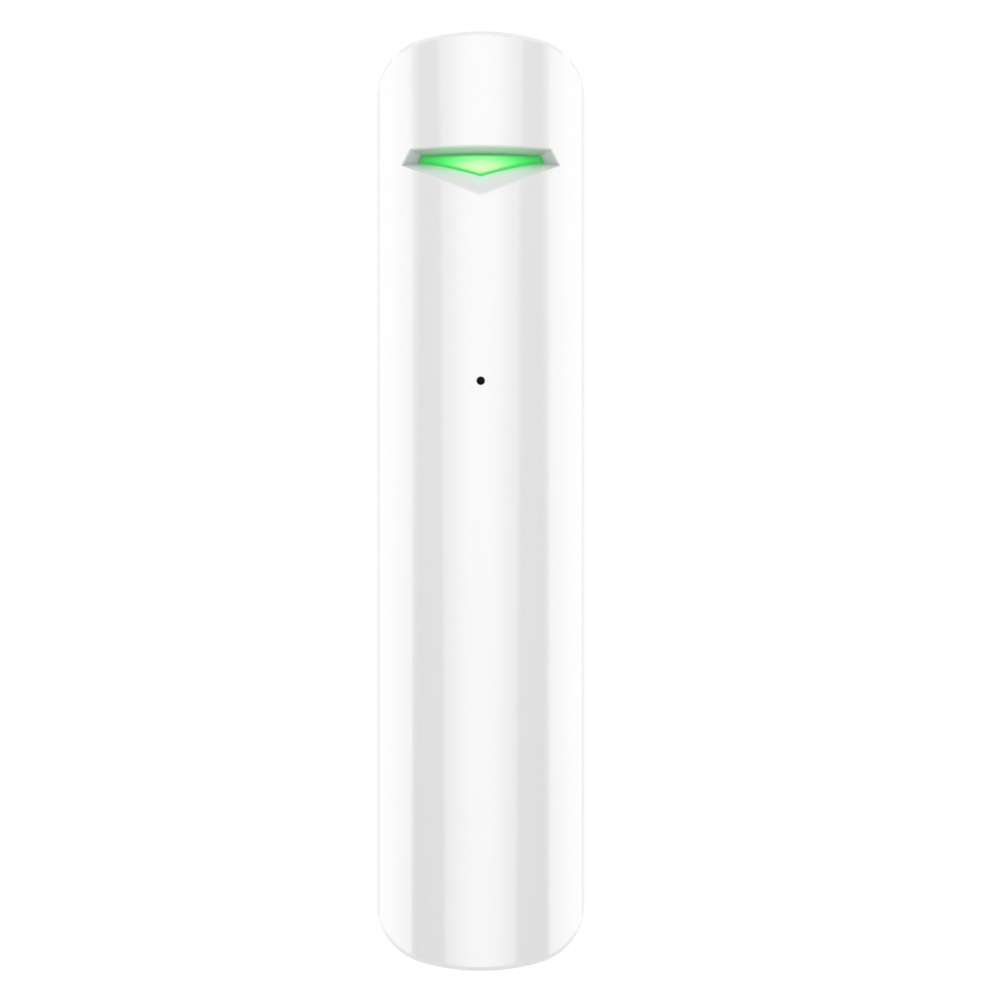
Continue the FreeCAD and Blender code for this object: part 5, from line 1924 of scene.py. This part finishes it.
@dataclass
class Studio:
    """Camera, world, floor, lamps and cards, in metres, with the camera's sensor in millimetres.

    The floor starts to fade into white, and is all white, at the two shares of its radius in floor_clear.
    """

    camera_distance: float = 4.0
    sensor_width: float = 36.0
    frame_width: float = 0.09605
    clip: tuple[float, float] = (0.1, 10.0)
    look_at: tuple[float, float, float] = (0.001844, -0.0116, 0.000106)
    ambient: float = 0.635
    floor_z: float = -0.068
    floor_radius: float = 0.30
    floor_facets: int = 96
    floor_clear: tuple[float, float] = (0.4, 0.95)
    floor_share: float = 0.35
    floor_mirrored: float = 0.9
    paper_scale: float = 900.0
    paper_tones: tuple[Colour, Colour] = ((0.86, 0.86, 0.86), (0.90, 0.90, 0.90))
    softboxes: tuple[Softbox, ...] = (
        Softbox("front", 0.0, 0.60, 1.10, 0.60, 1.38, rim=0.10, hot_radius=0.10, fade_radius=0.50,
                hot_above=0.085),
        Softbox("left", -115.0, 0.70, 0.92, 0.62, 1.10, rim=0.42, hot_radius=0.08, fade_radius=0.55,
                hot_right=0.18),
        Softbox("right", 115.0, 0.70, 0.92, 0.62, 1.10, rim=0.42, hot_radius=0.08, fade_radius=0.55,
                hot_right=-0.18),
        Softbox("top", 0.0, 0.80, 0.50, 0.50, 1.6, rise=70.0),
    )
    flags: tuple[Flag, ...] = (Flag("flag_left", -64.6), Flag("flag_right", 64.6))
    made: list[str] = field(default_factory=list)

    def build(self) -> None:
        """Sets up the whole studio."""
        self.add_camera()
        self.light_world()
        self.lay_floor()
        for softbox in self.softboxes:
            self.hang(softbox)
        for flag in self.flags:
            self.set_flag(flag)
        bpy.context.scene.view_settings.view_transform = "Standard"
        LOG.info("studio: %s", ", ".join(self.made))

    def _keep(self, name: str) -> Piece:
        """Names the object that was just added and notes it down.

        Args:
            name: The object's name.

        Returns:
            The object.
        """
        added = bpy.context.object
        added.name = name
        self.made.append(name)
        return added

    def add_camera(self) -> None:
        """Places a long lens straight in front, level with the object."""
        bpy.ops.object.select_all(action="DESELECT")
        x, y, z = self.look_at
        bpy.ops.object.camera_add(location=(x, y - self.camera_distance, z), rotation=(math.pi / 2, 0.0, 0.0))
        camera = self._keep("camera")
        camera.data.sensor_width = self.sensor_width
        camera.data.lens = self.sensor_width * self.camera_distance / self.frame_width
        camera.data.clip_start, camera.data.clip_end = self.clip
        bpy.context.scene.camera = camera

    def light_world(self) -> None:
        """White where the camera, a reflection or a clear part looks, and plain soft light for the rest."""
        world = bpy.data.worlds.new("white_studio")
        bpy.context.scene.world = world
        world.use_nodes = True
        world.node_tree.nodes.clear()
        sheet = NodeSheet(world.node_tree)
        path = sheet.add("ShaderNodeLightPath").outputs
        seen = sheet.maths("MAXIMUM", path["Is Camera Ray"],
                           sheet.maths("MAXIMUM", path["Is Glossy Ray"], path["Is Transmission Ray"]))
        strength = sheet.maths("ADD", sheet.maths("MULTIPLY", seen, 1.0 - self.ambient), self.ambient)
        background = sheet.add("ShaderNodeBackground", Color=WHITE, Strength=strength)
        sheet.add("ShaderNodeOutputWorld", Surface=background.outputs[0])
        self.made.append(world.name)

    def lay_floor(self) -> None:
        """Lays a pale round floor that fades into the white background, and is clear from below."""
        bpy.ops.object.select_all(action="DESELECT")
        bpy.ops.mesh.primitive_circle_add(vertices=self.floor_facets, radius=self.floor_radius,
                                          fill_type="NGON", location=(0.0, 0.0, self.floor_z))
        floor = self._keep("floor")
        bpy.ops.object.transform_apply(location=True, rotation=True, scale=True)
        material, sheet = NodeSheet.of_material("pale_floor")
        place = sheet.axes()
        start, end = self.floor_clear
        clear = sheet.fade(sheet.distance(place["X"], place["Y"]), start * self.floor_radius,
                           end * self.floor_radius, self.floor_share, 1.0)
        grain = sheet.add("ShaderNodeTexNoise", Vector=sheet.object_point(), Scale=self.paper_scale,
                          Detail=3.0)
        paper = sheet.blend(grain.outputs["Fac"], *self.paper_tones)
        matt = sheet.add("ShaderNodeBsdfDiffuse", Color=paper).outputs[0]
        white = sheet.add("ShaderNodeEmission", Color=WHITE, Strength=1.0).outputs[0]
        path = sheet.add("ShaderNodeLightPath").outputs
        mirrored = sheet.maths("MAXIMUM", path["Is Glossy Ray"], path["Is Transmission Ray"])
        share = sheet.maths("MAXIMUM", sheet.maths("MULTIPLY", path["Is Camera Ray"], clear),
                            sheet.maths("MULTIPLY", mirrored, self.floor_mirrored))
        under = sheet.add("ShaderNodeNewGeometry").outputs["Backfacing"]
        sided = sheet.overlay(under, sheet.overlay(share, matt, white),
                              sheet.add("ShaderNodeBsdfTransparent").outputs[0])
        sheet.add("ShaderNodeOutputMaterial", Surface=sided)
        floor.data.materials.append(material)

    def _spot(self, azimuth: float, rise: float, distance: float) -> tuple[Vector, tuple[float, ...]]:
        """Place and turn of something that faces the object.

        Args:
            azimuth: Degrees from the camera, clockwise from above to the right.
            rise: Degrees above the object's height.
            distance: Metres from the object's axis.

        Returns:
            The location and the Euler rotation.
        """
        turn, lift = math.radians(azimuth), math.radians(rise)
        away = Vector((math.sin(turn) * math.cos(lift), -math.cos(turn) * math.cos(lift), math.sin(lift)))
        place = Vector((0.0, self.look_at[1], 0.0)) + away * distance
        return place, tuple(away.to_track_quat("Z", "Y").to_euler())

    def hang(self, softbox: Softbox) -> None:
        """Hangs one softbox.

        Args:
            softbox: Its place, size and radiance.
        """
        place, turn = self._spot(softbox.azimuth, softbox.rise, softbox.distance)
        bpy.ops.object.select_all(action="DESELECT")
        bpy.ops.object.light_add(type="AREA", location=place, rotation=turn)
        lamp = self._keep("softbox_" + softbox.name)
        light = lamp.data
        light.shape = "RECTANGLE"
        light.size, light.size_y = softbox.width, softbox.height
        light.energy = softbox.radiance * math.pi * softbox.width * softbox.height
        light.use_nodes = True
        sheet = NodeSheet(light.node_tree)
        cloth = sheet.axes(sheet.add("ShaderNodeNewGeometry").outputs["Parametric"])
        offsets = []
        for axis, size, shift in (("X", softbox.width, softbox.hot_right),
                                  ("Y", softbox.height, softbox.hot_above)):
            centred = sheet.maths("SUBTRACT", cloth[axis], 0.5 + shift / size)
            offsets.append(sheet.maths("MULTIPLY", centred, size))
        fall = sheet.fade(sheet.distance(*offsets), softbox.hot_radius, softbox.fade_radius, 1.0, softbox.rim)
        sheet.feed(light.node_tree.nodes["Emission"], "Strength", fall)
        lamp.visible_camera = False

    def set_flag(self, flag: Flag) -> None:
        """Stands one black card.

        Args:
            flag: Its place and size.
        """
        place, turn = self._spot(flag.azimuth, 0.0, flag.distance)
        bpy.ops.object.select_all(action="DESELECT")
        bpy.ops.mesh.primitive_plane_add(size=1.0, location=place, rotation=turn)
        card = self._keep(flag.name)
        card.scale = (flag.width, flag.height, 1.0)
        material, sheet = NodeSheet.of_material(flag.name)
        point = sheet.axes()
        away = sheet.maths("MULTIPLY", point["X"], math.copysign(flag.width, flag.azimuth))
        height = sheet.maths("MULTIPLY", point["Y"], flag.height)
        held = sheet.maths("MAXIMUM", sheet.maths("MINIMUM", height, flag.lean_reach), -flag.lean_reach)
        near = sheet.maths("SUBTRACT", away,
                           sheet.maths("MULTIPLY_ADD", held, flag.near_lean, flag.near_edge))
        far = sheet.maths("SUBTRACT", sheet.maths("MULTIPLY_ADD", held, flag.far_lean, flag.far_edge), away)
        shares = [sheet.fade(run, 0.0, fade, 0.0, 1.0)
                  for run, fade in ((near, flag.near_fade), (far, flag.far_fade))]
        clear = sheet.add("ShaderNodeBsdfTransparent").outputs[0]
        black = sheet.add("ShaderNodeBsdfDiffuse", Color=BLACK).outputs[0]
        sheet.add("ShaderNodeOutputMaterial",
                  Surface=sheet.overlay(sheet.maths("MULTIPLY", *shares), clear, black))
        card.data.materials.append(material)
        for ray in Ray:
            setattr(card, ray.value, False)


def dress_nodes(materials: dict[str, Material]) -> None:
    """Gives every CAD node its finish.

    Args:
        materials: The finished materials by slot.
    """
    for name, slot in SLOT_OF_NODE.items():
        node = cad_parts[name]
        node.data.materials.clear()
        node.data.materials.append(materials[slot])
        LOG.info("dressed %s with %s", name, slot)


def main() -> None:
    """Builds the studio, then dresses the detector."""
    logging.basicConfig(level=logging.INFO, format="%(message)s")
    Studio().build()
    effects = SharedEffects()
    materials = {finish.slot: finish.build(effects) for finish in FINISHES}
    dress_nodes(materials)
    bench = Workbench(materials)
    for assembly in (LightGuide, WallBracket, WireTerminal, Cell, Microphone, PressParts, CaseScrews,
                     BoardParts, Antenna, CellWiring, PressSwitches, SwitchStems, SolderJoints):
        assembly(bench).build()


if __name__ == "__main__":
    main()
